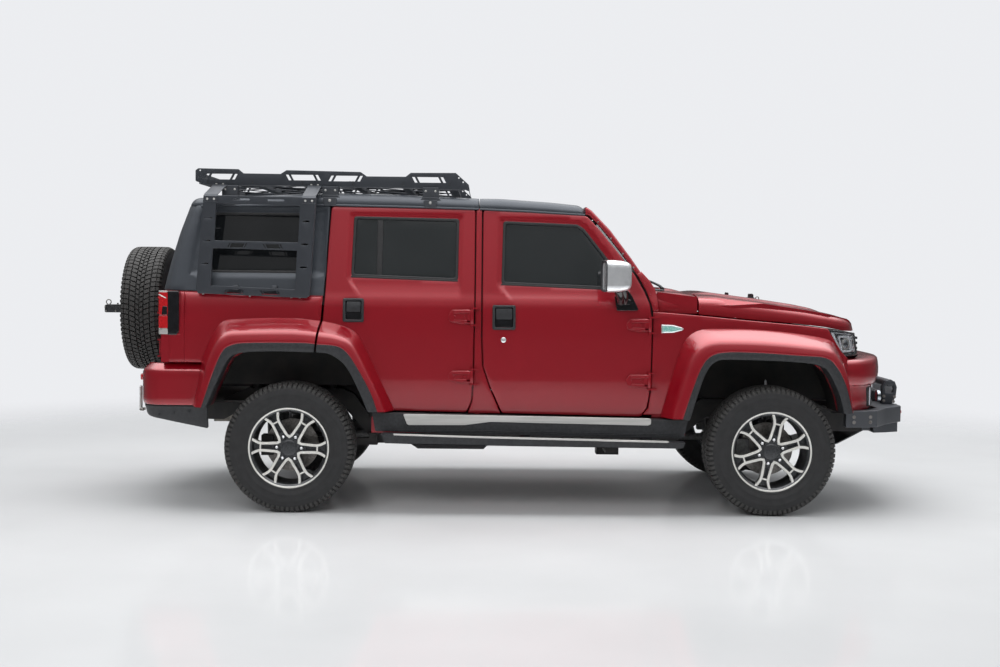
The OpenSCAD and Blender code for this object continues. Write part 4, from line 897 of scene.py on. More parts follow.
def flare(name, out, lip, op, bodies, replaces=(), both=True):
    o, l, p = flare_rows(out, lip, op)
    rows = []
    for a, b in zip(o, l):
        sec = []
        # share of the way from body to lip, and share of the way out
        for s, w in ((0.0, -0.04), (0.0, 0.035), (0.05, 0.10), (0.16, 0.30), (0.34, 0.60), (0.46, 0.79),
                     (0.52, 0.86),
                     (0.58, 0.905), (0.70, 0.945), (0.88, 0.985), (0.96, 1.0), (1.0, 0.985), (1.0, 0.90)):
            q = a + (b - a) * s
            sec.append((FX + q[0], -(W + (FW - W - 1) * w), q[1]))
        q = b + (a - b) * 0.06
        sec.append((FX + q[0], -(W + 90), q[1]))
        q = a + (b - a) * 0.20
        sec.append((FX + q[0], -(W - 14), q[1]))
        rows.append(sec)
    g = loft(rows, closed=True, caps=True)
    lipg = []
    for b, c, a in zip(l, p, o):
        sec = []
        for s, y in ((0.02, FW - 16), (0.02, FW - 1.5), (0.10, FW - 0.2), (0.45, FW + 0.6), (0.85, FW - 2),
                     (0.97, FW - 6),
                     (1.0, FW - 14), (1.0, W + 30), (1.0, W - 30), (0.8, W - 30)):
            q = b + (c - b) * s
            sec.append((FX + q[0], -y, q[1]))
        q = b + (a - b) * 0.02
        sec.append((FX + q[0], -(W + 84), q[1]))
        lipg.append(sec)
    lg = loft(lipg, closed=True, caps=True)
    if both:
        make_both(name, g, PAINT, slot="body_paint", replaces=replaces, smooth=38)
        make_both(name + "_lip", lg, PLASTIC, slot="black_plastic", smooth=45)
    else:
        make_pair(name, g, PAINT, bodies, slot="body_paint", smooth=38)
        make_pair(name + "_lip", lg, PLASTIC, bodies, slot="black_plastic", smooth=45)


flare("front_flare", FRONT_OUT, FRONT_LIP, FRONT_OPEN, None, ["arch_flares"])
flare("rear_flare", REAR_OUT_A, REAR_LIP_A, REAR_OPEN_A, None)
flare("door_flare", REAR_OUT_B, REAR_LIP_B, REAR_OPEN_B, ("rear_door_right", "rear_door_left"), both=False)


def liner(line, y0, y1):
    """Dark ribbed arch liner that follows the opening a little way above it."""
    pts = smooth_line(line, 40)
    mid = pts.mean(axis=0)
    rows = []
    for i, p in enumerate(pts):
        out = (p - mid) / np.linalg.norm(p - mid)
        q = p + out * (16 + (3 if i % 4 < 2 else 0))
        r = q + out * 4
        rows.append([(FX + q[0], -y0, q[1]), (FX + q[0], -y1, q[1]), (FX + r[0], -y1, r[1]),
                     (FX + r[0], -y0, r[1])])
    return loft(rows, closed=True, caps=True)


make_both("front_arch_liner", liner(FRONT_OPEN[1:], W - 12, W - 325), UNDER, slot="underbody")
make_both("rear_arch_liner", liner([(-3200, 620)] + REAR_OPEN_A[1:-1] + [(-2700, 918)] , W - 12, W - 90),
          UNDER, slot="underbody")

# ---- hinges, handles, lock, mirror and side lamp ------------------------------------------
def hinge(g, pin_x, z0, z1):
    """Cast strap with a rounded end, a raised rib, two bolts and the knuckle."""
    a, b = z0 + 13, z1 - 13
    x = FX + pin_x
    shape = rounded([(x - 128, a + 12), (x - 136, (a + b) / 2 + 6), (x - 112, b - 2), (x - 6, b),
                     (x - 2, a + 2), (x - 60, a - 2)], 16)
    g.prism("y", -(W + 18), -(W - 4), shape)
    rib = rounded([(x - 112, b - 22), (x - 104, b - 6), (x - 4, b - 3), (x - 4, b - 19)], 6)
    g.prism("y", -(W + 29), -(W + 12), rib)
    rib = rounded([(x - 108, a + 10), (x - 100, a + 22), (x - 4, a + 20), (x - 4, a + 6)], 5)
    g.prism("y", -(W + 24), -(W + 12), rib)
    g.tube([(x, -(W + 20), z0 + 11), (x, -(W + 20), z0 + 15), (x, -(W + 20), z1 - 15),
            (x, -(W + 20), z1 - 11)],
           [9.5, 11, 11, 9.5], 20)
    g.prism("y", -(W + 24), -(W + 8), [(x - 30, a + 2), (x - 30, b - 2), (x - 3, b - 2), (x - 3, a + 2)])
    return g


for tag, pin, spans in (("front", -694, ((711, 813), (1033, 1132))),
                        ("rear", -1712, ((731, 827), (1069, 1176)))):
    g, heads = Geo(), Geo()
    for z0, z1 in spans:
        hinge(g, pin, z0, z1)
        zc = (z0 + z1) / 2 + 2
        for dx in (98, 46):
            bolt(heads, (FX + pin - dx, -(W + 14), zc), (0, -1, 0), 7, 9)
    bodies = (f"{tag}_door_right", f"{tag}_door_left")
    make_pair(f"{tag}_hinges", g, PAINT, bodies, bevel=2.2, seg=2, slot="body_paint")
    make_pair(f"{tag}_hinge_bolts", heads, PAINT, bodies, smooth=35)

for tag, (x0, x1, z0, z1) in HANDLES.items():
    bodies = (f"{tag}_door_right", f"{tag}_door_left")
    frame_line = rounded([(x0, z0), (x1, z0), (x1, z1), (x0, z1)], 12)
    pocket = handle_pocket(tag)
    make_pair(f"{tag}_handle_frame", skin(frame_line, [pocket], on_side(PROUD + 9), 30, depth=16, rim=4),
              PLASTIC, bodies,
              slot="black_plastic", smooth=50)
    back = skin(rounded(offset(pocket, 3 if turning(pocket) < 0 else -3), 4), [], on_side(PROUD - 8), 40,
                depth=6, rim=1)
    make_pair(f"{tag}_handle_cup", back, GLOSSBLACK, bodies, slot="black_plastic")
    zm = z0 + (z1 - z0) * 0.42
    paddle = skin(rounded([(x0 + 20, zm), (x1 - 18, zm), (x1 - 18, z1 - 18), (x0 + 20, z1 - 18)], 8), [],
                  on_side(PROUD + 5, lambda u, v, c=(zm + z1 - 18) / 2: 4 * ((v - c) / 40) ** 2 + 0 * u),
                  14, depth=10, rim=3)
    make_pair(f"{tag}_handle_paddle", paddle, PLASTIC, bodies, slot="black_plastic", smooth=50)

lock = Geo().tube([(FX - 1531, -(W + 1), 990), (FX - 1531, -(W + 6), 990), (FX - 1531, -(W + 8.5), 990)],
                  [15, 15, 11], 24)
lock.tube([(FX - 1531, -(W + 8), 990), (FX - 1531, -(W + 10), 990)], [6.5, 6], 16)
make_pair("door_lock", lock, CHROME, ("front_door_right", "front_door_left"), smooth=35)


def mirror_ring(x0, wide, tall, power, n=36):
    """One ring of the mirror housing, squarish and turned a little outwards."""
    yc, zc = -(W + 160), 1361.0
    ring = []
    for j in range(n):
        q = 2 * math.pi * j / n
        c, s = math.cos(q), math.sin(q)
        y = yc + 92 * wide * math.copysign(abs(c) ** power, c)
        z = zc + 91 * tall * math.copysign(abs(s) ** power, s)
        ring.append((FX + x0 + (yc - y) * 0.10, y, z))
    return ring


def mirror_geos():
    shell = loft([mirror_ring(*r, 0.38) for r in (
        (-966, 0.93, 0.93), (-970, 0.97, 0.97), (-965, 1.0, 1.0), (-930, 1.0, 1.0), (-892, 0.985, 0.97),
                                                  (-856, 0.93, 0.90),
        (-836, 0.80, 0.78), (-827, 0.55, 0.55))], closed=True, caps=True)
    rims = [mirror_ring(*r, 0.36)
            for r in ((-969, 0.965, 0.965), (-975, 0.94, 0.94), (-972, 0.86, 0.86), (-962, 0.84, 0.84))]
    bezel = loft(rims + rims[:1], closed=True)
    face = [[(x + d, y, z) for x, y, z in rims[-1]] for d in (-3.0, 3.0)]
    return shell, bezel, loft(face, closed=True, caps=True)


shell, bezel, pane = mirror_geos()
doors = ("front_door_right", "front_door_left")
make_pair("mirror_shell", shell, CHROME, doors, replaces=["mirror_*"], slot="chrome_trim", smooth=60)
make_pair("mirror_bezel", bezel, PLASTIC, doors, slot="black_plastic", smooth=60)
make_pair("mirror_pane", pane, MIRROR_GLASS, doors)
base = Geo().prism("y", -(W + 20), -(W + 1),
                   rounded([(FX - 900, 1246), (FX - 826, 1284), (FX - 800, 1250), (FX - 758, 1166),
                            (FX - 886, 1164)], 10))
base.prism("y", -(W + 52), -(W + 14),
           rounded([(FX - 890, 1226), (FX - 852, 1236), (FX - 806, 1226), (FX - 812, 1200),
                    (FX - 884, 1198)], 8))
base.tube([(FX - 866, -(W + 40), 1215), (FX - 868, -(W + 66), 1238), (FX - 876, -(W + 92), 1262),
           (FX - 884, -(W + 104), 1284)],
          [22, 24, 27, 30], 16)
base.tube([(FX - 840, -(W + 40), 1212), (FX - 842, -(W + 70), 1236), (FX - 850, -(W + 96), 1264),
           (FX - 860, -(W + 104), 1282)],
          [16, 16, 18, 20], 14)
make_pair("mirror_arm", base, GLOSSBLACK, doors, bevel=3, seg=2, slot="black_plastic")

MARKER = [(-628, 1087), (-560, 1084), (-512, 1072), (-496, 1062), (-512, 1052), (-560, 1040), (-628, 1038)]
marker = skin(rounded(MARKER, 6), [rounded(offset(MARKER, -6.5), 4)], on_side(PROUD + 6, wing_step), 14,
              depth=9, rim=3)
make_both("side_lamp_bezel", marker, CHROME, slot="chrome_trim", smooth=50)
lens = skin(rounded(offset(MARKER, -6), 4), [], on_side(PROUD + 4, wing_step), 14, depth=7, rim=3)
make_both("side_lamp_lens", lens, GREENLENS, slot="lamp_clear", smooth=60)

# ---- sill, step and their bright trim ------------------------------------------------------
plate = [(-2101, 566), (-2078, 508), (-2066, 502), (-1747, 505), (-1604, 524), (-702, 511), (-686, 518),
         (-684, 549),
         (-700, 552)]
g = Geo()
g.prism("y", -(W + 52.5), -(W + 46), [(FX + x, z) for x, z in rounded(plate, 8)])
make_both("sill_plate", g, SILVER, bevel=1.6, slot="chrome_trim")
g = Geo()
for i in range(3):
    z = 478 - i * 9
    g.prism("y", -(W + 50), -(W + 46),
            [(FX - 2230 + 9 * i, z), (FX - 2230 + 9 * i, z - 4), (FX - 520, z - 18), (FX - 520, z - 14)])
make_both("sill_ribs", g, PLASTIC, bevel=1, slot="black_plastic")
g = Geo()
edge = [(-2146, 455), (-1660, 443), (-600, 425), (-590, 431), (-600, 436), (-1660, 453), (-2150, 464)]
g.prism("y", -(W + 141), -(W + 126), [(FX + x, z - 2) for x, z in edge])
make_both("step_edge", g, SILVER, bevel=2, slot="chrome_trim")
g = Geo()
for i in range(26):
    x = FX - 2080 + i * 56
    z = 449 - (i * 56 / 1456) * 21
    for j in range(3):
        g.prism("z", z - 3, z + 5, rounded([(x, -(W + 118 - j * 20)), (x + 40, -(W + 118 - j * 20)),
                                            (x + 40, -(W + 106 - j * 20)), (x, -(W + 106 - j * 20))], 4))
make_both("step_pads", g, SEAL, slot="black_plastic")

# ---- roof ---------------------------------------------------------------------------------
ROOF_X = [-3374, -3300, -2545, -2139, -1674, -1558, -1267, -1110, -1051]
EDGE_Z = [1782, 1789, 1825, 1820, 1801, 1801, 1783, 1768, 1752]
DRIP_X = [-3374, -3290, -2539, -2135, -1673, -1384, -1054]
DRIP_Z = [1738, 1744, 1756, 1751, 1741, 1730, 1713]
EAVE = 712.0
REAR_X, REAR_Z = [-3511, -3477, -3430, -3374], [1256, 1419, 1594, 1758]


def on_roof(edge, proud=0.0):
    """Height of the roof over the plan; it rolls down towards the open line edge."""
    def place(u, v):
        p = np.stack([np.ravel(u), np.ravel(v)], 1)
        t = np.clip(distance(p, [edge], closed=False) / 52, 0, 1).reshape(np.shape(u))
        low, high = np.interp(u, DRIP_X, DRIP_Z), np.interp(u, ROOF_X, EDGE_Z)
        high = high + 16 * (1 - (v / EAVE) ** 2)
        return FX + u, v, low + (high - low) * np.sqrt(1 - (1 - t) ** 2) + proud
    return place


def roof_panel(name, line, node):
    """line is the panel's eaves as an open line; the straight seam closes it."""
    rolls = [offset(line, -d, closed=False) for d in (5, 14, 28, 46)]
    panel = skin(line, [], on_roof(line), 44, depth=9, rim=2.5, extra=rolls)
    return make(name, panel, ROOF, slot="roof_grey", replaces=[node], smooth=60)


front_line = [(-1674, EAVE), (-1100, EAVE), (-1066, 700), (-1054, 660), (-1046, 560), (-1040, 0),
              (-1046, -560),
              (-1054, -660), (-1066, -700), (-1100, -EAVE), (-1674, -EAVE)]
rear_line = [(-1680, -EAVE), (-3270, -EAVE), (-3322, -694), (-3352, -650), (-3368, -580), (-3374, -480),
             (-3376, 0),
             (-3374, 480), (-3368, 580), (-3352, 650), (-3322, 694), (-3270, EAVE), (-1680, EAVE)]
roof_panel("roof_front_panel", front_line, "front_roof_panel")
roof_panel("roof_rear_panel", rear_line, "hardtop")
lining = skin([(-3300, -640), (-3300, 640), (-1120, 640), (-1120, -640)], [],
              lambda u, v: (FX + u, v, np.interp(u, ROOF_X, EDGE_Z) - 34 - 22 * (np.abs(v) / 640) ** 4), 90,
              depth=8, rim=4,
              flip=True)
HEADLINER = material("headliner_cloth", (0.16, 0.16, 0.155), (0.21, 0.21, 0.20), 300, (0.85, 0.95), 0, 0,
                     (1500, 0.4), sheen=0.2)
make("headliner", lining, HEADLINER, smooth=60)

# ---- hardtop: one wall round the load space, unrolled from the right rear door to the left one ----
XF, U1, CORNER, HALF = -2540.0, -3380.0, 240.0, 607.0
U_END = 2 * U1 - XF - 2 * CORNER - 2 * HALF


def wrap(proud=PROUD, detail=None):
    def place(u, v):
        u, v = np.asarray(u, float), np.asarray(v, float)
        ys = W + proud - lean(v) - (detail(u, v) if detail is not None else 0)
        xs = np.interp(v, REAR_Z, REAR_X) + 100
        flip = u < (XF + U_END) / 2
        w = np.where(flip, XF + U_END - u, u)
        a = np.clip((U1 - w) / CORNER, 0, 1) * math.pi / 2
        b = np.clip((U1 - CORNER - w) / HALF, 0, 1)
        x = np.where(w > U1, XF + (w - XF) * (xs - XF) / (U1 - XF), xs - (100 + proud - PROUD) * np.sin(a))
        y = np.where(w > U1, ys, ys - 215 * (1 - np.cos(a)))
        y = np.where(w < U1 - CORNER, (ys - 215) * (1 - b), y)
        return FX + x, np.where(flip, y, -y), v
    return place


def to_side(pts):
    return [(XF + (x - XF) * (U1 - XF) / (np.interp(z, REAR_Z, REAR_X) + 100 - XF), z) for x, z in pts]


def to_rear(pts):
    return [(U1 - CORNER - HALF * (1 + y / (W + PROUD - float(lean(z)) - 215)), z) for y, z in pts]


def other_side(pts):
    return [(XF + U_END - u, z) for u, z in pts]


FIELD = to_side([(-2560, 1272), (-2556, 1732), (-3262, 1732), (-3340, 1272)])


def pressed(u, v):
    p = np.stack([np.ravel(np.where(u < (XF + U_END) / 2, XF + U_END - u, u)), np.ravel(v)], 1)
    d = distance(p, [FIELD]) * np.where(inside(p, FIELD), 1, -1)
    inner = step01((d + 5) / 10)
    ledge = step01((1356 - p[:, 1]) / 12)
    return (inner * (9 - 9 * ledge)).reshape(np.shape(u))


side_glass = to_side([(-2640, 1362), (-2634, 1706), (-3222, 1706), (-3252, 1362)])
rear_glass = to_rear([(-535, 1318), (-500, 1676), (500, 1676), (535, 1318)])
holes = [rounded(side_glass, 30), rounded(other_side(side_glass), 30), rounded(rear_glass, 40)]
wall_line = [(XF - 22, 1234), (XF - 7, 1552), (XF + 3, 1752), (U1, 1746), (U_END - U1 + XF, 1746),
             (U_END - 3, 1752),
             (U_END + 7, 1552), (U_END + 22, 1234), (U_END - U1 + XF, 1259), (U1, 1259)]
creases = []
for ln in (FIELD, other_side(FIELD)):
    for d in (-6, 6):
        creases.append(offset(ln, d) + offset(ln, d)[:1])
for z in (1344, 1357):
    for f in (lambda q: q, other_side):
        creases.append(f([(-2566, z), (U1 + 60, z)]))
wall = skin(wall_line, holes, wrap(PROUD, pressed), 34, depth=9, rim=3.5, extra=creases)
make("hardtop_wall", wall, ROOF, slot="roof_grey", smooth=45)
for tag, loop in (("right", side_glass), ("left", other_side(side_glass)), ("rear", rear_glass)):
    s = -1 if turning(loop) > 0 else 1
    pane = skin(rounded(offset(loop, 14 * s), 34), [], wrap(-14.0), 50, depth=4, rim=0.6)
    make(f"hardtop_pane_{tag}", pane, PRIVACY, slot="tinted_glass", replaces=["fixed_glass"]
         if tag == "right" else (), smooth=60)
    ring = skin(rounded(offset(loop, 4 * s), 32), [rounded(offset(loop, -13 * s), 20)], wrap(-6.5), 40,
                depth=9, rim=3)
    make(f"hardtop_seal_{tag}", ring, SEAL, smooth=60)
# folded drip rail along the doors and the hardtop
g = Geo()
for x0, x1 in ((-1674, -1066), (-3280, -1680)):
    xs = np.linspace(x0, x1, 24)
    rows = []
    for x in xs:
        z = float(np.interp(x, DRIP_X, DRIP_Z))
        rows.append([(FX + x, -(EAVE + dy), z + dz)
                     for dy, dz in ((-14, -7), (1.5, -7), (4.5, -5), (4.5, 2), (2, 5), (-14, 7))])
    g.join(loft(rows, closed=True, caps=True))
make_both("drip_rail", g, ROOF, slot="roof_grey", smooth=40)
# black backing behind the shut lines of the doors
g = Geo()
for line in ([(-1700, 1000), (-1643, 1000), (-1643, 1744), (-1700, 1744)],
             [(-2585, 1180), (-2505, 1180), (-2492, 1750), (-2565, 1750)],
             [(-1690, 1706), (-1100, 1692), (-1080, 1712), (-1690, 1744)],
             [(-1112, 1706), (-1044, 1706), (-700, 1290), (-652, 1190), (-652, 560), (-690, 560),
              (-704, 1180), (-752, 1290),
              (-1112, 1664)], [(-2560, 1722), (-1690, 1712), (-1690, 1742), (-2560, 1752)]):
    g.join(skin(line, [], on_side(-34), 60, depth=8, rim=1))
make_both("shut_line_backing", g, SEAL, slot="black_plastic", smooth=60)

# ---- rack ---------------------------------------------------------------------------------
RACK_Y = W - 152.0
RAIL = [(-3321, 1889), (-3321, 1950), (-3304, 1962), (-3073, 1959), (-3044, 1935), (-2829, 1934),
        (-2795, 1956), (-2366, 1950),
        (-2331, 1925), (-2105, 1925), (-2076, 1948), (-1815, 1950), (-1739, 1882), (-1732, 1842),
        (-1762, 1853), (-2139, 1861),
        (-2700, 1866), (-3269, 1868)]


def slanted(x0, x1, z0, z1, way, lean_mm=17.0, bar=14.0, slash=15.0):
    """A window between two slashes that all lean one way."""
    out = []
    k = lean_mm * way
    for a, b in ((x0, x0 + slash), (x0 + slash + bar, x1 - slash - bar), (x1 - slash, x1)):
        out.append([(a - k / 2, z0), (b - k / 2, z0), (b + k / 2, z1), (a + k / 2, z1)])
    return out


cuts = []
for x0, x1, z0, z1, way in ((-3262, -3086, 1899, 1931, 1), (-2790, -2605, 1898, 1930, -1),
                            (-2544, -2362, 1895, 1927, 1),
                            (-2060, -1880, 1892, 1924, -1)):
    cuts += slanted(x0, x1, z0, z1, way)
for x, z in ((-3294, 1950), (-3302, 1914), (-3276, 1905), (-3293, 1884), (-1797, 1921), (-1772, 1897)):
    cuts.append([(x + 4.5 * math.cos(t), z + 4.5 * math.sin(t))
                 for t in np.linspace(0, 2 * math.pi, 10, endpoint=False)])
rail = skin(rounded(RAIL, 6, 3), cuts, lambda u, v: (FX + u, -(RACK_Y + 6) + 0 * u, v), 70, depth=5, rim=1.2)
# folded flanges along the top and the foot of the rail
for pts in (RAIL[2:12], RAIL[14:]):
    rows = [[(FX + x, -(RACK_Y + 5), z - 0.5), (FX + x, -(RACK_Y - 22), z - 0.5),
             (FX + x, -(RACK_Y - 22), z - 4), (FX + x, -(RACK_Y + 5), z - 4)]
            for x, z in pts]
    rail.join(loft(rows, closed=True, caps=True))
make_both("rack_rails", rail, RACK, slot="rack_grey", replaces=["roof_rack"], smooth=35)
BAR_PITCH = 290
RACK_BARS = range(-3280, -1829, BAR_PITCH)
g = Geo()
for x in RACK_BARS:
    prof = [(-22, 1872), (22, 1872), (22, 1898), (18, 1898), (18, 1876), (-18, 1876), (-18, 1898),
            (-22, 1898)]
    g.prism("y", -(RACK_Y - 6), RACK_Y - 6, [(FX + x + a, z) for a, z in prof])
# flat diagonal braces between the bars, on two levels
for bar in RACK_BARS[:-1]:
    x0, x1 = bar + 22, bar + BAR_PITCH - 22
    for y0, y1 in ((-640, -330), (-330, -20), (20, 330), (330, 640)):
        for k in (0, 1):
            a, b = (y0, y1) if k == 0 else (y1, y0)
            dz = 1882 + 5 * k
            w = 13
            g.prism("z", dz, dz + 4, [(FX + x0, a - w), (FX + x0 + 26, a - w), (FX + x1, b - w),
                                      (FX + x1, b + w), (FX + x1 - 26, b + w), (FX + x0, a + w)])
make("rack_bars", g, RACK, bevel=1.2, seg=1, slot="rack_grey")
g = Geo()
# wind deflector in front and end plate behind, between the rails
for pts in ([(-1742, 1884), (-1734, 1846), (-1738, 1844), (-1746, 1882)],
            [(-3318, 1886), (-3318, 1944), (-3314, 1944), (-3314, 1886)]):
    g.prism("y", -(RACK_Y - 1), RACK_Y - 1, [(FX + x, z) for x, z in pts])
make("rack_end_plates", g, RACK, bevel=1, slot="rack_grey")
g, heads = Geo(), Geo()
for x in (-3120, -2540, -1960):
    z = float(np.interp(x, DRIP_X, DRIP_Z))
    # clamp block under the rail, its flared foot and the clamp bolt
    g.prism("y", -(RACK_Y + 18), -(RACK_Y - 40),
            rounded([(FX + x - 46, z + 56), (FX + x + 46, z + 56), (FX + x + 46, 1864),
                     (FX + x - 46, 1864)], 5))
    g.prism("y", -(RACK_Y + 30), -(RACK_Y + 2), rounded([(FX + x - 46, z + 58), (FX + x + 46, z + 58),
                                                         (FX + x + 66, z + 34), (FX + x + 58, z + 12),
                                                         (FX + x - 58, z + 12), (FX + x - 66, z + 34)], 6))
    g.prism("y", -(RACK_Y + 48), -(RACK_Y + 26),
            rounded([(FX + x - 40, z + 42), (FX + x + 40, z + 42), (FX + x + 34, z - 4),
                     (FX + x - 34, z - 4)], 6))
    bolt(heads, (FX + x, -(RACK_Y + 48), z + 26), (0, -1, 0), 6.5, 6)
    for dx in (-28, 28):
        bolt(heads, (FX + x + dx, -(RACK_Y + 18), 1842), (0, -1, 0), 5, 5)
make_both("rack_clamps", g, RACK, bevel=2, slot="rack_grey")
make_both("rack_clamp_bolts", heads, SILVER, smooth=35)
g = Geo()
for x in (-3250, -2990, -2700, -2410, -2120, -1850):
    for dz in (-10, 12):
        bolt(g, (FX + x, -(RACK_Y + 6), 1884 + dz * 0.6), (0, -1, 0), 4, 4)
make_both("rack_rail_bolts", g, GUNMETAL, smooth=35)

# ---- side carriers --------------------------------------------------------------------------
CARRIER = [(-3240, 1799), (-3284, 1263), (-3271, 1241), (-2658, 1219), (-2638, 1233), (-2603, 1792)]
openings = [[(-3169, 1753), (-3179, 1543), (-2704, 1535), (-2694, 1742)],
            [(-3187, 1499), (-3200, 1286), (-2722, 1268), (-2710, 1489)]]
cuts = [rounded(o, 4, 3) for o in openings]
for x, z in ((-3211, 1670), (-3222, 1541), (-3233, 1411), (-2660, 1655), (-2667, 1525), (-2674, 1394)):
    cuts.append([(x + 21 * math.cos(t), z + 5.5 * math.sin(t))
                 for t in np.linspace(0, 2 * math.pi, 16, endpoint=False)])
for x0, x1, z in ((-3073, -2979, 1777), (-2879, -2784, 1773)):
    cuts.append(rounded([(x0, z - 5), (x1, z - 5), (x1, z + 5), (x0, z + 5)], 5, 4))
for x0, x1, z, way in ((-3101, -3000, 1516, 1), (-2898, -2797, 1512, -1), (-3117, -3014, 1255, 1),
                       (-2914, -2812, 1249, -1)):
    cuts += slanted(x0, x1, z - 13, z + 12, way, 12, 6, 7)
plate = skin(rounded(CARRIER, 12, 4), cuts, lambda u, v: (FX + u, -(W + 24) + 0 * u, v), 60, depth=6, rim=2)
# folded edges round the frame and round its two openings
loops = [(CARRIER, 26, -1)] + [(o, 16, 1) for o in openings]
for loop, deep, way in loops:
    s = way * (1 if turning(loop) > 0 else -1)
    inner = offset(loop, 4.0 * -s)
    k = len(loop)
    for i in range(k):
        a, b, c, d = loop[i], loop[(i + 1) % k], inner[(i + 1) % k], inner[i]
        plate.add([(FX + x, -(W + 22), z) for x, z in (a, b, c, d)] + [(FX + x, -(W + 22 - deep), z)
            for x, z in (a, b, c, d)],
                  [[0, 1, 2, 3], [7, 6, 5, 4], [0, 4, 5, 1], [1, 5, 6, 2], [2, 6, 7, 3], [3, 7, 4, 0]])
make_both("carrier_plates", plate, RACK, slot="rack_grey", replaces=["side_carriers"], smooth=35)
g, heads = Geo(), Geo()
for xt, xb, zb in ((-3220, -3238, 1797), (-2671, -2683, 1791)):
    path = [(-(RACK_Y - 10), 1868, 0), (-(RACK_Y + 14), 1868, 0), (-(RACK_Y + 22), 1862, 0.05),
            (-(W + 18), zb + 10, 0.95),
            (-(W + 28), zb - 4, 1.0), (-(W + 28), zb - 34, 1.1)]
    rows = []
    for y, z, t in path:
        x = xt + (xb - xt) * t
        rows.append([(FX + x, y, z), (FX + x + 79, y, z), (FX + x + 79, y + 3.5, z - 3.5),
                     (FX + x, y + 3.5, z - 3.5)])
    g.join(loft(rows, closed=True, caps=True))
    for dx in (20, 58):
        bolt(heads, (FX + xt + dx, -(RACK_Y + 6), 1872), (0, 0, 1), 5, 5)
        bolt(heads, (FX + xb + dx, -(W + 28), zb - 20), (0, -1, 0), 5, 5)
for x in (-3225, -3060, -2840, -2665):
    g.box(FX + x - 15, FX + x + 15, -(W + 20), -(W - 14), 1262, 1288)
for x, z in ((-3244, 1243), (-2978, 1232), (-2742, 1227), (-2694, 1226)):
    heads.tube([(FX + x, -(W + 14), z - 8), (FX + x, -(W + 14), z + 2)], 6, 12)
make_both("carrier_arms", g, RACK, bevel=1.5, slot="rack_grey")
make_both("carrier_bolts", heads, SILVER, smooth=35)

# ---- front wings, bonnet, cowl and windscreen -----------------------------------------------
def soften(name, width=3.0):
    """Rounds the edges of a carried-over node."""
    o = frame["nodes"][name]
    flat = o.modifiers.new("merge", "DECIMATE")
    flat.decimate_type, flat.angle_limit = "DISSOLVE", math.radians(2)
    b = o.modifiers.new("edge", "BEVEL")
    b.width, b.segments, b.limit_method, b.angle_limit = width / 1000, 2, "ANGLE", math.radians(35)
    b.harden_normals = True


BOT_X, BOT_Z = [-674, -639, -414, -164, 184, 329, 446, 556], [1166, 1163, 1147, 1124, 1095, 1079, 1057, 1050]
TOP_X = [-660, -628, -375, -20, 217, 365, 483, 525, 550, 556]
TOP_Z = [1276, 1272, 1247, 1203, 1170, 1142, 1118, 1096, 1070, 1064]
RISE_D, RISE = [0, 3, 8, 20, 50, 110, 240, 760], [0.0, 0.34, 0.62, 0.78, 0.91, 0.99, 1.03, 1.06]


def on_bonnet(edges, proud=0.0):
    """Height over the plan; it rises steeply from the open lines edges, with a broad raised centre."""
    def place(u, v):
        u, v = np.asarray(u, float), np.asarray(v, float)
        p = np.stack([u.ravel(), v.ravel()], 1)
        d = distance(p, edges, closed=False).reshape(u.shape)
        crown = 14 * np.clip((u + 700) / 300, 0.3, 1)
        centre = 13 * step01((420 - np.abs(v)) / 50) * step01((430 - u) / 120)
        low = np.interp(u, BOT_X, BOT_Z)
        seam = np.interp(np.abs(u + 410), [0, 12, 110], [0.15, 0.2, 1.0])
        high = np.interp(u, TOP_X, TOP_Z) + (crown + centre) * seam
        return FX + u, v, low + (high - low) * np.interp(d, RISE_D, RISE) + proud
    return place


half = [(-405, -760), (0, -754), (300, -745), (400, -728), (462, -695), (508, -640), (534, -560),
        (548, -440), (555, -250)]
nose = [tuple(p) for p in smooth_line(half + [(556, 0)] + [(x, -y) for x, y in half[::-1]], 90)]
rolls = [offset(nose, d, closed=False) for d in (2, 5, 9, 15, 24, 38, 60, 100)]
folds = [[(-395, s * y), (300, s * y * 0.96)] for s in (-1, 1) for y in (372, 396, 420)]
bonnet_skin = skin(nose, [], on_bonnet([nose]), 30, depth=7, rim=2.5, extra=rolls + folds)
make("bonnet_skin", bonnet_skin, PAINT, "bonnet", slot="body_paint", smooth=50)
sides = [[(-700, -775), (-645, -772), (-300, -757)], [(-700, 775), (-645, 772), (-300, 757)]]
plan = [(-416, -760), (-640, -772), (-652, -735), (-652, 735), (-640, 772), (-416, 760)]
rolls = [offset([(-640, -772), (-412, -760)], d, closed=False) for d in (2, 5, 9, 15, 24, 38)]
rolls += [offset([(-412, 760), (-640, 772)], d, closed=False) for d in (2, 5, 9, 15, 24, 38)]
vent_holes = [rounded([(-632, s * 70), (-588, s * 70), (-588, s * 610), (-632, s * 610)], 8) for s in (-1, 1)]
cowl = skin(plan, vent_holes, on_bonnet(sides), 30, depth=7, rim=2.5, extra=rolls)
make("cowl_skin", cowl, PAINT, slot="body_paint", smooth=50)
g = Geo()
for s in (-1, 1):
    for i in range(40):
        y = s * (78 + i * 13.6)
        g.add([(FX + x, y + dy, 1276 + dz) for x in (-634, -586)
               for dy, dz in ((-5, 3), (5, 6), (5, 8), (-5, 5))],
              [[0, 1, 2, 3], [7, 6, 5, 4], [0, 4, 5, 1], [1, 5, 6, 2], [2, 6, 7, 3], [3, 7, 4, 0]])
    g.box(FX - 636, FX - 584, s * 340 - 272, s * 340 + 272, 1262, 1270)
make("cowl_louvres", g, PLASTIC, slot="black_plastic")


def screen_x(y, z):
    t = (z - 1260) / 430
    return -655 - 351 * t + (15 - 7 * t) * (1 - (y / 730) ** 2)


def on_screen(proud):
    return lambda u, v: (FX + screen_x(u, v) + proud * 0.77, u, v + proud * 0.63)


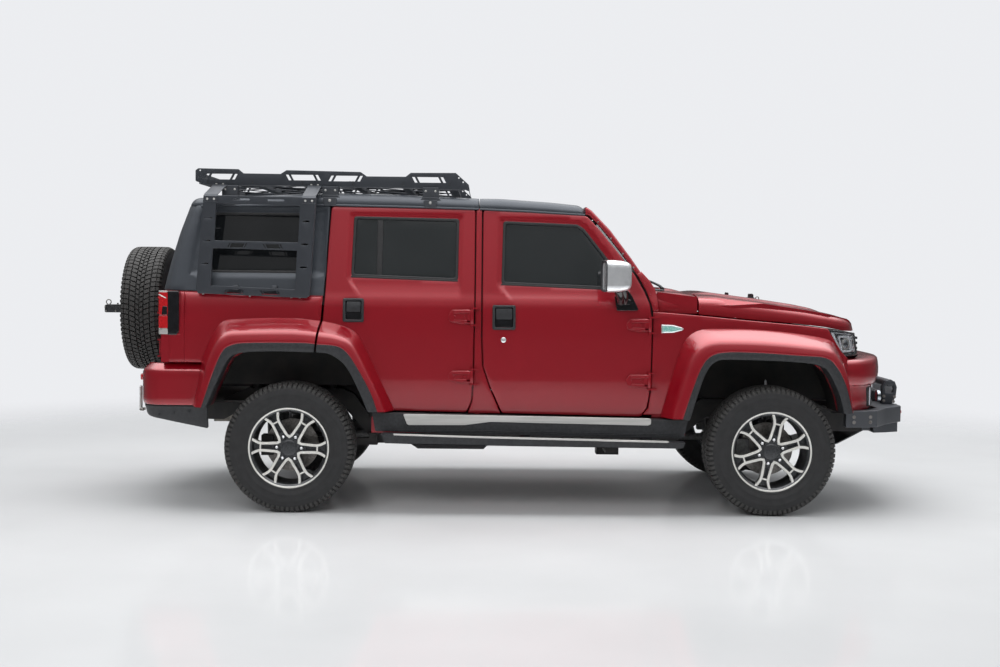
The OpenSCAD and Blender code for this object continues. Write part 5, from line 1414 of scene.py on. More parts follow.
glass_line = rounded([(-733, 1262), (733, 1262), (656, 1690), (-656, 1690)], 40)
make("windscreen_pane", skin(glass_line, [], on_screen(0.0), 70, depth=5, rim=1, flip=False), SCREEN,
     slot="tinted_glass", smooth=60)
inset = offset(glass_line, 26 if turning(glass_line) > 0 else -26)
make("windscreen_border", skin(glass_line, [inset], on_screen(1.6), 60, depth=2.2, rim=0.5), GLOSSBLACK,
     smooth=60)
g = Geo()
for y0 in (-470, 130):
    def on(y, z, h):
        return FX + screen_x(y, z) + h, y, z
    g.tube([(FX - 582, y0, 1268), (FX - 582, y0, 1296)], 13, 14)
    arm = [(FX - 582, y0, 1292), (FX - 600, y0 + 24, 1308), on(y0 + 90, 1338, 46), on(y0 + 200, 1344, 34),
           on(y0 + 300, 1342, 26)]
    g.tube(smooth_line(arm, 18), [8 - 3.5 * i / 17 for i in range(18)], 8)
    blade = [on(y0 + 20, 1312, 11), on(y0 + 160, 1324, 14), on(y0 + 300, 1336, 15), on(y0 + 440, 1348, 14),
             on(y0 + 560, 1358, 11)]
    g.tube(smooth_line(blade, 22), [4 + 3 * math.sin(math.pi * i / 21) for i in range(22)], 8)
    g.tube(smooth_line([(x - 8, y, z - 4) for x, y, z in blade], 22), 3, 6)
make("wipers", g, PLASTIC, slot="black_plastic", smooth=50)

# bonnet fittings: jet blocks, lifting blocks and a tie ring
g, ring = Geo(), Geo()


def bonnet_z(x):
    return float(on_bonnet([nose])(np.array([x]), np.array([0.0]))[2][0])


z = bonnet_z(38.0)
g.prism("y", -16, 16,
        rounded([(FX + 20, z - 4), (FX + 55, z - 4), (FX + 53, z + 24), (FX + 46, z + 30),
                 (FX + 24, z + 29)], 4))
g.prism("y", -26, 26, rounded([(FX + 14, z - 4), (FX + 60, z - 4), (FX + 58, z + 6), (FX + 16, z + 7)], 3))
z = bonnet_z(-115.0)
g.prism("y", -10, 10,
        rounded([(FX - 127, z - 4), (FX - 102, z - 4), (FX - 104, z + 14), (FX - 124, z + 16)], 4))
z = bonnet_z(80.0)
ring.tube([(FX + 80 + 10 * math.cos(q), 0, z + 7 + 10 * math.sin(q))
           for q in np.linspace(0, 2 * math.pi, 17)[:-1]], 3, 8, closed=True)
make("bonnet_blocks", g, PLASTIC, "bonnet", bevel=1.2)
make("bonnet_rings", ring, STEEL, "bonnet")
# ribbed inner panel, seen with the bonnet up
inner_line = [(-380, -700), (300, -690), (430, -640), (490, -540), (505, 0), (490, 540), (430, 640),
              (300, 690), (-380, 700)]
pits = [rounded([(x, y), (x + 230, y), (x + 230, y + 360), (x, y + 360)], 50)
        for x in (-310, -30) for y in (-600, -180, 240)]
inner = skin(rounded(inner_line, 30), pits, on_bonnet([nose], -30.0), 40, depth=9, rim=4)
make("bonnet_inner_frame", inner, PAINT, "bonnet", slot="body_paint", smooth=50)

# ---- headlamps ---------------------------------------------------------------------------
LAMP_PLAN = smooth_line([(331, -812), (400, -797), (460, -772), (508, -725), (545, -650), (572, -566)], 90)
LAMP_S = np.concatenate([[0], np.cumsum(np.linalg.norm(np.diff(LAMP_PLAN, axis=0), axis=1))])


def on_lamp(proud):
    def place(u, v):
        t = np.gradient(LAMP_PLAN, axis=0)
        t /= np.linalg.norm(t, axis=1)[:, None]
        x, y = np.interp(u, LAMP_S, LAMP_PLAN[:, 0]), np.interp(u, LAMP_S, LAMP_PLAN[:, 1])
        tx, ty = np.interp(u, LAMP_S, t[:, 0]), np.interp(u, LAMP_S, t[:, 1])
        lean_x = 0.16 * (v - 910) * np.clip(u / 150, 0, 1)
        return FX + x + ty * proud - lean_x, y - tx * proud, v + 0 * u
    return place


lamp_line = rounded([(3, 1068), (86, 935), (110, 912), (374, 915), (374, 1040), (250, 1046), (120, 1056)], 12)
inner_lamp = offset(lamp_line, 7 if turning(lamp_line) > 0 else -7)
make_both("lamp_housing", skin(lamp_line, [], on_lamp(-34.0), 26, depth=10, rim=2), GLOSSBLACK,
          slot="black_plastic",
          replaces=["headlamps"], smooth=60)
wall_ring = skin(lamp_line, [inner_lamp], on_lamp(-2.0), 26, depth=36, rim=2)
make_both("lamp_rim", wall_ring, GLOSSBLACK, slot="black_plastic", smooth=50)
g = Geo()
for s0, s1, z0, z1 in ((96, 214, 934, 1030), (232, 356, 932, 1028)):
    outer = rounded([(s0 + 8, z0), (s1, z0), (s1, z1), (s0 - 12 if s0 < 120 else s0, z1)], 16)
    hole = offset(outer, 11 if turning(outer) > 0 else -11)
    g.join(skin(outer, [hole], on_lamp(-12.0), 20, depth=14, rim=2))
g.join(skin(rounded([(24, 1050), (90, 944), (98, 946), (48, 1046), (240, 1032), (240, 1038)], 3), [],
            on_lamp(-8.0), 18, depth=8, rim=1.5))
make_both("lamp_guides", g, LAMP_WHITE, slot="lamp_clear", smooth=50)
g, eye = Geo(), Geo()
for s0 in (156.0, 294.0):
    x, y, z = (float(q) for q in on_lamp(-26.0)(s0, 980.0))
    x2, y2, _ = (float(q) for q in on_lamp(0.0)(s0, 980.0))
    axis = Vector((x2 - x, y2 - y, 0)).normalized()
    at = Vector((x, y, z))
    g.tube([at + axis * d for d in (-8, 0, 8, 9, 3)], [34, 36, 36, 32, 29], 32)
    eye.tube([at + axis * d for d in (0, 6, 10, 13, 14.5)], [28, 27, 22, 13, 4], 32)
make_both("lamp_bowls", g, SILVER, slot="chrome_trim", smooth=50)
make_both("lamp_eyes", eye, MIRROR_GLASS, slot="lamp_clear", smooth=60)
make_both("lamp_lens", skin(lamp_line, [], on_lamp(1.5), 20, depth=4, rim=2.5), CLEAR, slot="lamp_clear",
          smooth=60)

# ---- grille trim --------------------------------------------------------------------------
soften("grille_panel", 2)
g = Geo()
outer = rounded([(-560, 905), (560, 905), (556, 1040), (-556, 1040)], 16)
hole = rounded([(-536, 918), (536, 918), (532, 1028), (-532, 1028)], 14)
g.join(skin(outer, [hole], lambda u, v: (FX + 588 - 0.16 * (v - 910) - 26 * (u / 560) ** 2, u, v), 50,
            depth=14, rim=4))
for i in range(9):
    y = -440 + i * 110
    g.prism("x", FX + 548, FX + 576, rounded([(y - 6, 910), (y + 6, 910), (y + 6, 1032), (y - 6, 1032)], 2))
make("grille_surround", g, GLOSSBLACK, slot="black_plastic", smooth=50)
g = Geo()
for z in (934.0, 964.0, 994.0):
    rows = [[(FX + 580 - 22 * (y / 540) ** 2 + dx, y, z + dz)
             for dx, dz in ((-6, -4), (2, -3), (3, 0), (2, 3), (-6, 4))]
            for y in np.linspace(-532, 532, 28)]
    g.join(loft(rows, closed=True, caps=True))
make("grille_bright_bars", g, SILVER, slot="chrome_trim", smooth=50)

# ---- bumper ---------------------------------------------------------------------------------
half = [(447, -812), (500, -802), (552, -778), (604, -732), (655, -662), (700, -550), (735, -410),
        (751, -250)]
PLAN = smooth_line(half + [(757, 0)] + [(x, -y) for x, y in half[::-1]], 80)
tan = np.gradient(PLAN, axis=0)
tan /= np.linalg.norm(tan, axis=1)[:, None]
INWARD = np.stack([-tan[:, 1], tan[:, 0]], 1)
section = [(120, 903), (62, 907), (40, 905), (20, 901), (9, 892), (4, 872), (0, 835), (0, 805), (5, 770),
           (14, 748), (22, 741), (33, 737),
           (36, 728), (37, 660), (39, 606), (44, 596), (62, 590), (74, 596), (70, 740), (74, 880), (118, 894)]
rows = []
for (x, y), n in zip(PLAN, INWARD):
    drop = 12 * float(np.clip((abs(y) - 560) / 250, 0, 1))
    rows.append([(FX + x + n[0] * d, y + n[1] * d, z - (drop if z > 800 else 0)) for d, z in section])
make("bumper_skin", loft(rows, closed=True, caps=True), PAINT, slot="body_paint", replaces=["front_bumper"],
     smooth=40)


def on_bumper(proud):
    def place(u, v):
        k = np.arange(len(PLAN))
        y0 = PLAN[:, 1]
        i = np.interp(u, y0, k)
        x, nx, ny = (np.interp(i, k, c) for c in (PLAN[:, 0], INWARD[:, 0], INWARD[:, 1]))
        back = np.interp(v, [590, 606, 660, 728, 741, 770, 805, 872], [44, 39, 37, 36, 22, 5, 0, 4]) - proud
        return FX + x + nx * back, u + ny * back, v
    return place


g = Geo()
for s in (-1, 1):
    g.join(skin(rounded([(s * 560, 612), (s * 700, 612), (s * 715, 728), (s * 590, 728)], 14), [],
                on_bumper(2.5), 20, depth=8, rim=3))
make("bumper_pockets", g, PLASTIC, slot="black_plastic", smooth=50)
g, h = Geo(), Geo()
for s in (-1, 1):
    g.join(skin(rounded([(s * 652, 618), (s * 664, 618), (s * 672, 724), (s * 660, 724)], 3), [],
                on_bumper(7.0), 16, depth=7, rim=2))
    h.tube([(FX + 700 + d, s * 610, 672) for d in (-24, -8, -4, -1)], [34, 34, 31, 12], 28)
make("bumper_light_strips", g, LAMP_WHITE, slot="lamp_clear", smooth=50)
make("bumper_fog_lamps", h, MIRROR_GLASS, slot="lamp_clear", smooth=50)
grille_low = skin(rounded([(-430, 625), (430, 625), (400, 722), (-400, 722)], 20), [], on_bumper(2.0), 30,
                  depth=8, rim=3)
make("bumper_lower_grille", grille_low, PLASTIC, slot="black_plastic", smooth=50)

# ---- steel bumper ------------------------------------------------------------------------------
def mirrored(pts):
    return list(pts) + [(x, -y) for x, y in pts[::-1]]


g = Geo()
beam = [(452, -(W - 30)), (640, -(W - 60)), (740, -(W - 230)), (872, -(W - 378)), (878, -(W - 400))]
core = [(452, -(W - 92)), (600, -(W - 120)), (690, -(W - 260)), (690, -(W - 380))]
half_beam = beam + [(878, 0), (690, 0)] + core[::-1]
for s in (1, -1):
    g.prism("z", 500, 596, [(FX + x, s * y) for x, y in half_beam])
g.prism("z", 434, 500, [(FX + x, y) for x, y in mirrored([(700, -470), (790, -440), (868, -400)])])
g.box(FX + 640, FX + 702, -410, 410, 441, 499)
for s in (-1, 1):
    g.prism("z", 446, 544, [(FX + x, s * y) for x, y in ((640, 435), (692, 435), (692, 365), (640, 365))])
    post = [(872, 500), (872, 590), (905, 590), (930, 560), (930, 520), (905, 500)]
    g.prism("y", s * 237 - 12, s * 237 + 12, [(FX + x, z) for x, z in post])
make("steel_bumper_beam", g, RACK, slot="grey_steel", bevel=4, replaces=["bull_bar"])
g = Geo()
hoop = rounded([(790, 596), (790, 700), (812, 740), (866, 736), (880, 700), (874, 640), (850, 596)], 8)
gap = rounded([(808, 664), (806, 698), (820, 720), (856, 716), (864, 690), (858, 664)], 8)
for s in (-1, 1):
    for y in (-331, -297):
        plate = skin(hoop, [gap], lambda u, v: (FX + u, y + 0 * u, v), 20, depth=8, rim=2.5)
        g.join(plate if s < 0 else plate.turned(MIRROR))
make("hoop_plates", g, RACK, slot="grey_steel", smooth=50)
g = Geo()
g.tube([(FX + 838, -330, 724), (FX + 838, 330, 724)], 22, 24)
g.prism("y", -292, 292,
        rounded([(FX + 800, 600), (FX + 872, 600), (FX + 878, 646), (FX + 870, 656), (FX + 806, 656)], 8))
make("hoop_bars", g, RACK, slot="grey_steel", bevel=2)
g = Geo()
g.prism("y", -346, 346,
        [(FX + x, z) for x, z in ((690, 442), (520, 352), (330, 302), (332, 308), (518, 359), (684, 449))])
for y in range(-300, 301, 100):
    g.prism("y", y - 8, y + 8,
            [(FX + x, z)
             for x, z in ((684, 436), (520, 347), (340, 300), (340, 304), (520, 352), (684, 443))])
make("skid_plate", g, RACK, slot="grey_steel", bevel=1.5)
g = Geo()
for s in (-1, 1):
    for x, z in ((801, 616), (801, 644), (866, 640), (860, 612)):
        bolt(g, (FX + x, s * 331, z), (0, s, 0), 7, 6)
    for x, z in ((500, 560), (500, 530), (600, 560), (600, 530)):
        bolt(g, (FX + x, s * (W - 30 - 30 * (x - 452) / 188), z), (0.1, s, 0), 8, 5)
for y in (-400, -300, 300, 400):
    for z in (520, 575):
        bolt(g, (FX + 877, y, z), (1, 0, 0), 8, 6)
make("steel_bumper_bolts", g, STEEL, slot="grey_steel")
g = Geo()
g.box(FX + 876, FX + 900, -158, 158, 466, 590)
make("fairlead_mount", g, RACK, slot="grey_steel", bevel=4)
fair = rounded([(-150, 478), (150, 478), (150, 578), (-150, 578)], 14)
slot_hole = rounded([(-100, 508), (100, 508), (100, 548), (-100, 548)], 19)
g = skin(fair, [slot_hole], lambda u,
         v: (FX + 915 - 14 * np.clip(1 - np.abs(v - 528) / 34, 0, 1) ** 2, u, v), 24, depth=14, rim=5)
make("winch_fairlead", g, SILVER, slot="grey_steel", smooth=50)
g = Geo()
g.box(FX + 899, FX + 903, -92, 92, 512, 544)
make("fairlead_throat", g, SEAL, bevel=1)
g = Geo()
for s in (-1, 1):
    bow = [(FX + 911, s * (237 + dy), 545 + dz) for dy,
           dz in ((-30, 4), (-31, -14), (-27, -36), (-15, -52), (0, -58), (15, -52), (27, -36), (31, -14),
                  (30, 4))]
    g.tube(smooth_line(bow, 26), 8.5, 12)
    g.tube([(FX + 911, s * 237 - 42, 545), (FX + 911, s * 237 + 42, 545)], 9, 12)
    g.tube([(FX + 911, s * 237 - 50, 545), (FX + 911, s * 237 - 38, 545)], 14, 6)
make("steel_bumper_shackles", g, RED_SOLID, slot="lamp_red", smooth=50)
plate = rounded([(-220, 606), (220, 606), (220, 700), (-220, 700)], 8)
g = skin(plate, [], lambda u, v: (FX + 886 + 0 * u, u, v), 40, depth=4, rim=1.5)
make("front_plate_blank", g, LAMP_WHITE, slot="grey_steel", smooth=50)
# small screws down the windscreen pillars
g = Geo()
for x, z in ((-1004, 1672), (-930, 1578), (-860, 1490), (-800, 1412), (-744, 1338), (-706, 1268),
             (-690, 1206)):
    bolt(g, (FX + x + 14, -(W + 0.5 - float(lean(z))), z), (0, -1, 0.1), 5, 4)
make_both("pillar_screws", g, STEEL, slot="grey_steel")

# ---- tail lamps, rear bumper and tailgate ---------------------------------------------------
def on_flank(proud):
    return lambda u, v: (FX + u, -(W + proud) + 0 * u, v)


plate_line = rounded([(-3452, 1003), (-3398, 1003), (-3384, 1024), (-3384, 1253), (-3452, 1253)], 9)
make_both("tail_lamp_plate", skin(plate_line, [], on_flank(6.0), 20, depth=60, rim=3), GLOSSBLACK,
          slot="black_plastic",
          replaces=["tail_lamps"], smooth=50)
lens_plan = [(-3446, -(W + 9)), (-3478, -(W + 9)), (-3494, -(W + 5)), (-3502, -(W - 6)), (-3504, -(W - 30)),
             (-3504, -(W - 108)),
             (-3446, -(W - 108))]
g = Geo()
for z0, z1 in ((1040, 1113), (1116, 1246)):
    g.prism("z", z0, z1, [(FX + x, y) for x, y in rounded(lens_plan, 8)])
make_both("tail_lamp_lens", g, RED_LENS, slot="lamp_red", bevel=4, seg=3)
g = Geo()
for z0, z1 in ((1246, 1253), (1006, 1038)):
    g.prism("z", z0, z1, [(FX + x, y) for x, y in rounded(lens_plan, 8)])
g.join(skin([(-3500, 1231), (-3496, 1235), (-3458, 1216), (-3458, 1210)], [], on_flank(10.5), 12, depth=3,
            rim=1))
make_both("tail_lamp_trim", g, SILVER, slot="chrome_trim", bevel=1.5)
g = skin(rounded([(-3482, 1118), (-3450, 1118), (-3450, 1166), (-3476, 1166)], 5), [], on_flank(10.5), 12,
         depth=4, rim=1.5)
make_both("tail_lamp_notch", g, GLOSSBLACK, slot="black_plastic")
g = Geo()
for z in range(1052, 1240, 13):
    if abs(z - 1114) > 7:
        g.prism("z", z - 1.2, z + 1.2, [(FX + x, y) for x,
                                        y in rounded([(x - (3 if x < -3500 else 0), y) for x,
                                                      y in lens_plan[3:5]] + [(-3507, -(W - 104)),
            (-3500, -(W - 104))], 1)])
make_both("tail_lamp_ribs", g, RED_SOLID, slot="lamp_red")

soften("tailgate", 4)
soften("side_steps", 3)
soften("side_cladding", 4)
REAR = smooth_line([(-3180, -(W - 6)), (-3330, -(W - 6)), (-3478, -(W - 8)), (-3556, -(W - 34)),
                    (-3606, -(W - 92)),
                    (-3638, -(W - 200)), (-3650, -(W - 330)), (-3656, -300), (-3658, 0), (-3656, 300),
                    (-3650, W - 330),
                    (-3638, W - 200), (-3606, W - 92), (-3556, W - 34), (-3478, W - 8), (-3330, W - 6),
                    (-3180, W - 6)], 200)
REAR_S = np.concatenate([[0], np.cumsum(np.linalg.norm(np.diff(REAR, axis=0), axis=1))])
ALL = float(REAR_S[-1])
REAR_T = np.gradient(REAR, axis=0)
REAR_T /= np.linalg.norm(REAR_T, axis=1)[:, None]


def on_rear(proud):
    """The rear bumper unrolled: u runs round it from the right wheel arch to the left one."""
    def place(u, v):
        x, y, tx, ty = (np.interp(u, REAR_S, c) for c in (REAR[:, 0], REAR[:, 1], REAR_T[:, 0], REAR_T[:, 1]))
        inward = np.interp(v, [455, 585, 600, 620, 780, 800, 838], [46, 12, 5, 0, 0, 5, 44]) - proud
        return FX + x + ty * inward, y - tx * inward, v + 0 * u
    return place


def s_at(x=None, y=None):
    k = len(REAR) // 2
    return float(np.interp(-x, -REAR[:k, 0], REAR_S[:k]) if y is None
                 else np.interp(y, REAR[:k, 1], REAR_S[:k]))


def both_ways(pts):
    return list(pts) + [(ALL - s, z) for s, z in pts[::-1]]


red = both_ways([(s_at(x=-3300), 598), (s_at(x=-3252), 800), (s_at(x=-3262), 838), (s_at(y=-700), 838),
                 (s_at(y=-694), 786),
                 (s_at(y=-440), 782), (s_at(y=-430), 704)])
bend = [[(s_at(x=-3254), z), (s_at(y=-702), z)] for z in (792, 800, 808)]
bend += [[(ALL - a[0], a[1]) for a in ln] for ln in bend]
outer = skin(rounded(red, 10), [], on_rear(0.0), 24, depth=9, rim=4, extra=bend, flip=True)
make("rear_bumper_skin", outer, PAINT, slot="body_paint", replaces=["rear_bumper"], smooth=50)
low = [(s_at(x=-3226), 460), (s_at(x=-3226), 592), (ALL - s_at(x=-3226), 592), (ALL - s_at(x=-3226), 460),
       (ALL - s_at(x=-3490), 514), (ALL - s_at(y=-560), 552), (s_at(y=-560), 552), (s_at(x=-3490), 514)]
make("rear_skirt", skin(rounded(low, 12), [], on_rear(0.0), 26, depth=9, rim=4, flip=True), PLASTIC,
     slot="black_plastic", smooth=50)
g = Geo()
for z0, z1, y_min, x_in, back in ((700, 706, 0, -3492, 8), (776, 782, 434, -3492, 8),
                                  (590, 597, 0, -3500, 14)):
    pts = [(FX + x + ty * back, y - tx * back) for (x, y), (tx, ty) in zip(REAR, REAR_T) if x < -3484
           and y < -y_min]
    if y_min:
        part = pts + [(FX + x_in, pts[-1][1]), (FX + x_in, pts[0][1])]
        g.prism("z", z0, z1, part)
        g.prism("z", z0, z1, [(x, -y) for x, y in part])
    else:
        keep = [(x, y) for x, y in pts if z0 != 700 or y > -440]
        full = keep + [(x, -y) for x, y in keep[::-1]]
        g.prism("z", z0, z1, full + [(FX + x_in, -keep[0][1]), (FX + x_in, keep[0][1])])
for s in (-1, 1):
    g.prism("z", 826, 832, [(FX + x, s * y) for x, y in ((-3262, 776), (-3262, 728), (-3490, 728),
                                                         (-3490, 622), (-3556, 640), (-3548, 726),
                                                         (-3480, 776))])
    g.box(FX - 3592, FX - 3492, s * 436 - 3, s * 436 + 3, 704, 780)
    g.box(FX - 3588, FX - 3520, s * 400 - 34, s * 400 + 34, 500, 590)
make("rear_bumper_ledges", g, PLASTIC, slot="black_plastic", bevel=1.5)
g, h = Geo(), Geo()
for s in (-1, 1):
    g.prism("z", 562, 692,
            [(FX + x, s * y)
             for x, y in rounded([(-3661, 596), (-3647, 596), (-3643, 640), (-3656, 636)], 4)])
    h.prism("x", FX - 3662, FX - 3648,
            rounded([(s * 470, 724), (s * 585, 724), (s * 590, 760), (s * 465, 760)], 10))
make("rear_bumper_brackets", g, SILVER, slot="chrome_trim", bevel=3)
make("rear_bumper_reflectors", h, RED_LENS, slot="lamp_red", bevel=2)
g = skin(rounded([(-170, 600), (170, 600), (170, 692), (-170, 692)], 8), [], lambda u,
         v: (FX - 3660 + 0 * u, -u, v), 40, depth=4, rim=1.5)
make("rear_plate_blank", g, LAMP_WHITE, slot="grey_steel")
# tow eye and step pads
g = Geo()
eye = [(FX - 3655 - 22 * math.sin(q), -520 + 24 * math.cos(q), 545) for q in np.linspace(0, math.pi, 13)]
g.tube(eye, 8, 12)
make("rear_tow_eye", g, STEEL, slot="grey_steel", smooth=50)
g = Geo()
for s in (-1, 1):
    for i in range(6):
        g.prism("y", s * 752 - 20, s * 752 + 20, rounded([(FX - 3290 - i * 34, 831),
                                                          (FX - 3308 - i * 34, 831),
                                                          (FX - 3306 - i * 34, 836),
                                                          (FX - 3292 - i * 34, 836)], 1))
make("rear_bumper_pads", g, PLASTIC, slot="black_plastic")

# tailgate face round the wheel carrier
ring = [(118 * math.cos(t), SPARE[2] + 118 * math.sin(t))
        for t in np.linspace(0, 2 * math.pi, 40, endpoint=False)]
press = [(-560, 870), (560, 870), (540, 1200), (-540, 1200)]


def on_gate(u, v):
    p = np.stack([np.ravel(u), np.ravel(v)], 1)
    d = (distance(p, [press]) * np.where(inside(p, press), 1, -1)).reshape(np.shape(u))
    return FX - 3514 + 7 * step01((d + 7) / 14), -u, v


rims = [offset(press, d) + offset(press, d)[:1] for d in (-8, 8)]
gate = skin(rounded([(-646, 819), (646, 819), (646, 1244), (-646, 1244)], 18), [ring], on_gate, 30, depth=8,
            rim=4, extra=rims)
make("tailgate_skin", gate, PAINT, "tailgate", slot="body_paint", smooth=50)
g = Geo()
g.lathe([(105, -3), (122, -3), (122, 3), (119, 6), (105, 6)][::-1], 64)
m = Matrix.Translation((FX - 3516, 0, SPARE[2])) @ Matrix.Rotation(math.radians(90), 4, "Z")
make("spare_carrier_ring", g.turned(m), PLASTIC, "tailgate", slot="black_plastic", smooth=40)
g = Geo()
g.prism("y", 470, 590,
        rounded([(FX - 3540, 1020), (FX - 3512, 1016), (FX - 3512, 1064), (FX - 3536, 1062)], 6))
make("tailgate_handle", g, GLOSSBLACK, "tailgate", slot="black_plastic", bevel=3, seg=3)
for tag, dz in (("low", 919), ("high", 1168)):
    g = Geo()
    g.prism("x", FX - 3526, FX - 3514,
            rounded([(-628, dz - 34), (-500, dz - 24), (-500, dz + 24), (-628, dz + 34)], 10))
    for y in (-600, -560, -520):
        bolt(g, (FX - 3526, y, dz), (-1, 0, 0), 7, 5)
    make(f"tailgate_hinge_leaf_{tag}", g, PAINT, "tailgate", slot="body_paint", bevel=2)
# pod behind the spare wheel, with its eye and rod, and its small round lamp
g = Geo()
g.prism("y", -39, 39, rounded([(FX - 4022, 1108), (FX - 4016, 1102), (FX - 3950, 1102), (FX - 3900, 1102),
                               (FX - 3900, 1152), (FX - 4012, 1152), (FX - 4022, 1146)], 4))
g.tube([(FX - 3905, 0, SPARE[2]), (FX - 3800, 0, SPARE[2])], 35, 36)
make("spare_pod", g, PLASTIC, "tailgate", slot="black_plastic", bevel=3, seg=3)
g = Geo()
g.tube([(FX - 3800, 0, SPARE[2]), (FX - 3662, 0, SPARE[2])], 51, 40)
make("spare_hub_tube", g, CHASSIS, "tailgate", slot="black_plastic", smooth=50)
g = Geo()
x0, z0 = FX - 4020, SPARE[2]
eye_ring = [(x0 + 14 + 15 * math.cos(q), 0, z0 + 35 + 15 * math.sin(q))
            for q in np.linspace(0, 2 * math.pi, 25)[:-1]]
g.tube(eye_ring, 3.2, 8, closed=True)
g.tube([(x0 + 4, -34, z0 + 4), (x0 - 2, -34, z0 + 4)], [11, 8], 16)
g.tube([(FX - 3944, -20, z0 + 20), (FX - 3944, -20, z0 + 30)], 5, 10)
for q in (0, 1):
    g.tube([(FX - 4012 + 60 * q, -41, z0 - 20), (FX - 4012 + 60 * q, -44, z0 - 20)], 6, 6)
make("spare_pod_fittings", g, STEEL, "tailgate", slot="grey_steel", smooth=40)

# exhaust end and rear skirt bolts
g = Geo()
g.tube([(FX - 3560, 560, 470), (FX - 3470, 560, 476)], 31, 28)
make("exhaust_tip", g, CHROME, slot="exhaust_steel", smooth=50)
g = Geo()
for x, z in ((-3330, 560), (-3420, 552), (-3500, 545)):
    bolt(g, (FX + x, -(W - 13), z), (0, -1, 0), 6, 3)
make_both("rear_skirt_bolts", g, PLASTIC)
# upright crease on the quarter panel
g = Geo()
g.prism("z", 850, 1246, [(FX - 3355, -(W - 1)), (FX - 3353, -(W + 5.2)), (FX - 3351, -(W - 1))])
make_both("quarter_crease", g, PAINT, slot="body_paint", smooth=20)

# ---- cabin ------------------------------------------------------------------------------------
def pad_geo(y_mid, spine, half_w, half_t, face=1, wing=0.0, crown=8.0, channels=(), panels=(), step=10.0,
            depth=7.0, n=72):
    """A stuffed form along spine, in the (x, z) plane: its sides pull in between the corners and its face
    is crowned.

    channels are sewn lines along it, at these distances from its middle; panels run across it, at these
    shares of its length.
    Returns the pad and the line of its edge piping."""
    length = sum(math.dist(a, b) for a, b in zip(spine, spine[1:]))
    m = max(10, int(length / step))
    line = smooth_line(spine, m)
    t = np.gradient(line, axis=0)
    t /= np.linalg.norm(t, axis=1)[:, None]
    normal = np.stack([-t[:, 1], t[:, 0]], 1) * face
    s = np.linspace(0, 1, m)
    s = 0.5 - 0.5 * np.cos(math.pi * s) * (1 - 0.25 * np.sin(math.pi * s) ** 2)
    line = np.stack([np.interp(s, np.linspace(0, 1, m), line[:, j]) for j in range(2)], 1)
    w0 = np.interp(s, np.linspace(0, 1, len(half_w)), half_w)
    t0 = np.interp(s, np.linspace(0, 1, len(half_t)), half_t)
    end = np.clip(1 - np.abs(2 * s - 1) ** 10, 0.0, 1)
    ew, et = 0.90 + 0.10 * end ** 0.4, 0.10 + 0.90 * end ** 0.45
    waist = 1 - 0.018 * np.sin(math.pi * s) ** 2
    q = 2 * math.pi * np.arange(n) / n
    c, d = np.cos(q), np.sin(q)
    rows, pipes = [], [[], []]
    for i in range(m):
        yy = w0[i] * ew[i] * waist[i] * np.sign(c) * np.abs(c) ** 0.42
        tt = t0[i] * et[i] * np.sign(d) * np.abs(d) ** 0.62
        share = np.abs(yy) / w0[i]
        up = np.clip(d * 3, 0, 1) * et[i]
        tt = tt + up * crown * (1 - share ** 2) * math.sin(math.pi * s[i])
        tt = tt + up * wing * step01((share - 0.60) / 0.22) * (1 - step01((share - 0.93) / 0.14))
        for y in channels:
            tt = tt - up * depth * np.exp(-((np.abs(yy) - y) / 7.0) ** 2)
        for f in panels:
            tt = tt - up * depth * 0.8 * np.exp(-((s[i] - f) * length / 7.5) ** 2) * (share < 0.66)
        rows.append([(FX + line[i, 0] + normal[i, 0] * h, y_mid + y, line[i, 1] + normal[i, 1] * h)
                     for y, h in zip(yy, tt)])
        for k, j in enumerate((n // 12, n // 2 - n // 12)):
            pipes[k].append(rows[-1][j])
    return loft(rows, closed=True, caps=True), pipes


def pad(name, *args, fill=0.65, body="chassis", replaces=(), **more):
    geo, pipes = pad_geo(*args, **more)
    o = make(name, geo, LEATHER, body, slot="seat_leather", replaces=replaces, smooth=75, sub=1)
    g = Geo()
    for p in pipes:
        g.tube(p[1:-1], 3.0, 8)
    make(f"{name}_piping", g, STITCH, body, slot="seat_leather", smooth=60)


STITCH = material("seat_piping_grey", (0.05, 0.05, 0.05), (0.10, 0.10, 0.10), 300, (0.5, 0.7), 0, 0,
                  (2500, 0.5), sheen=0.2)
for tag, y in (("right", -375), ("left", 375)):
    pad(f"seat_front_{tag}_cushion", y, [(-1490, 748), (-1250, 752), (-1022, 764)], [236, 246, 242],
        [52, 54, 50], wing=20,
        channels=(146,), panels=(0.36, 0.60, 0.82), replaces=["front_seats"] if tag == "right" else ())
    pad(f"seat_front_{tag}_back", y, [(-1506, 742), (-1560, 1000), (-1632, 1300), (-1664, 1404)],
        [232, 244, 240, 206],
        [54, 52, 46, 34], face=-1, wing=24, channels=(142,), panels=(0.22, 0.42, 0.62, 0.82))
    pad(f"seat_front_{tag}_headrest", y, [(-1664, 1434), (-1674, 1510), (-1694, 1594)], [112, 118, 106],
        [34, 37, 30], face=-1,
        crown=6, fill=0.8, step=6, n=60)
g = Geo()
for s in (-1, 1):
    y = s * 375
    for dy in (-50, 50):
        g.tube([(FX - 1662, y + dy, 1380), (FX - 1668, y + dy, 1450)], 6, 14)
for y in (-380, 0, 380):
    for dy in (-40, 40):
        g.tube([(FX - 2468, y + dy, 1225), (FX - 2478, y + dy, 1310)], 5.5, 14)
make("headrest_posts", g, CHROME, slot="chrome_trim", smooth=50)
g = Geo()
for s in (-1, 1):
    for dy in (-130, 130):
        g.prism("y", s * 375 + dy - 17, s * 375 + dy + 17,
                rounded([(FX - 1500, 543.5), (FX - 1060, 543.5), (FX - 1060, 568), (FX - 1500, 568)], 5))
    g.prism("y", s * 375 - 168, s * 375 + 168,
            rounded([(FX - 1478, 560), (FX - 1084, 560), (FX - 1060, 706), (FX - 1490, 706)], 24))
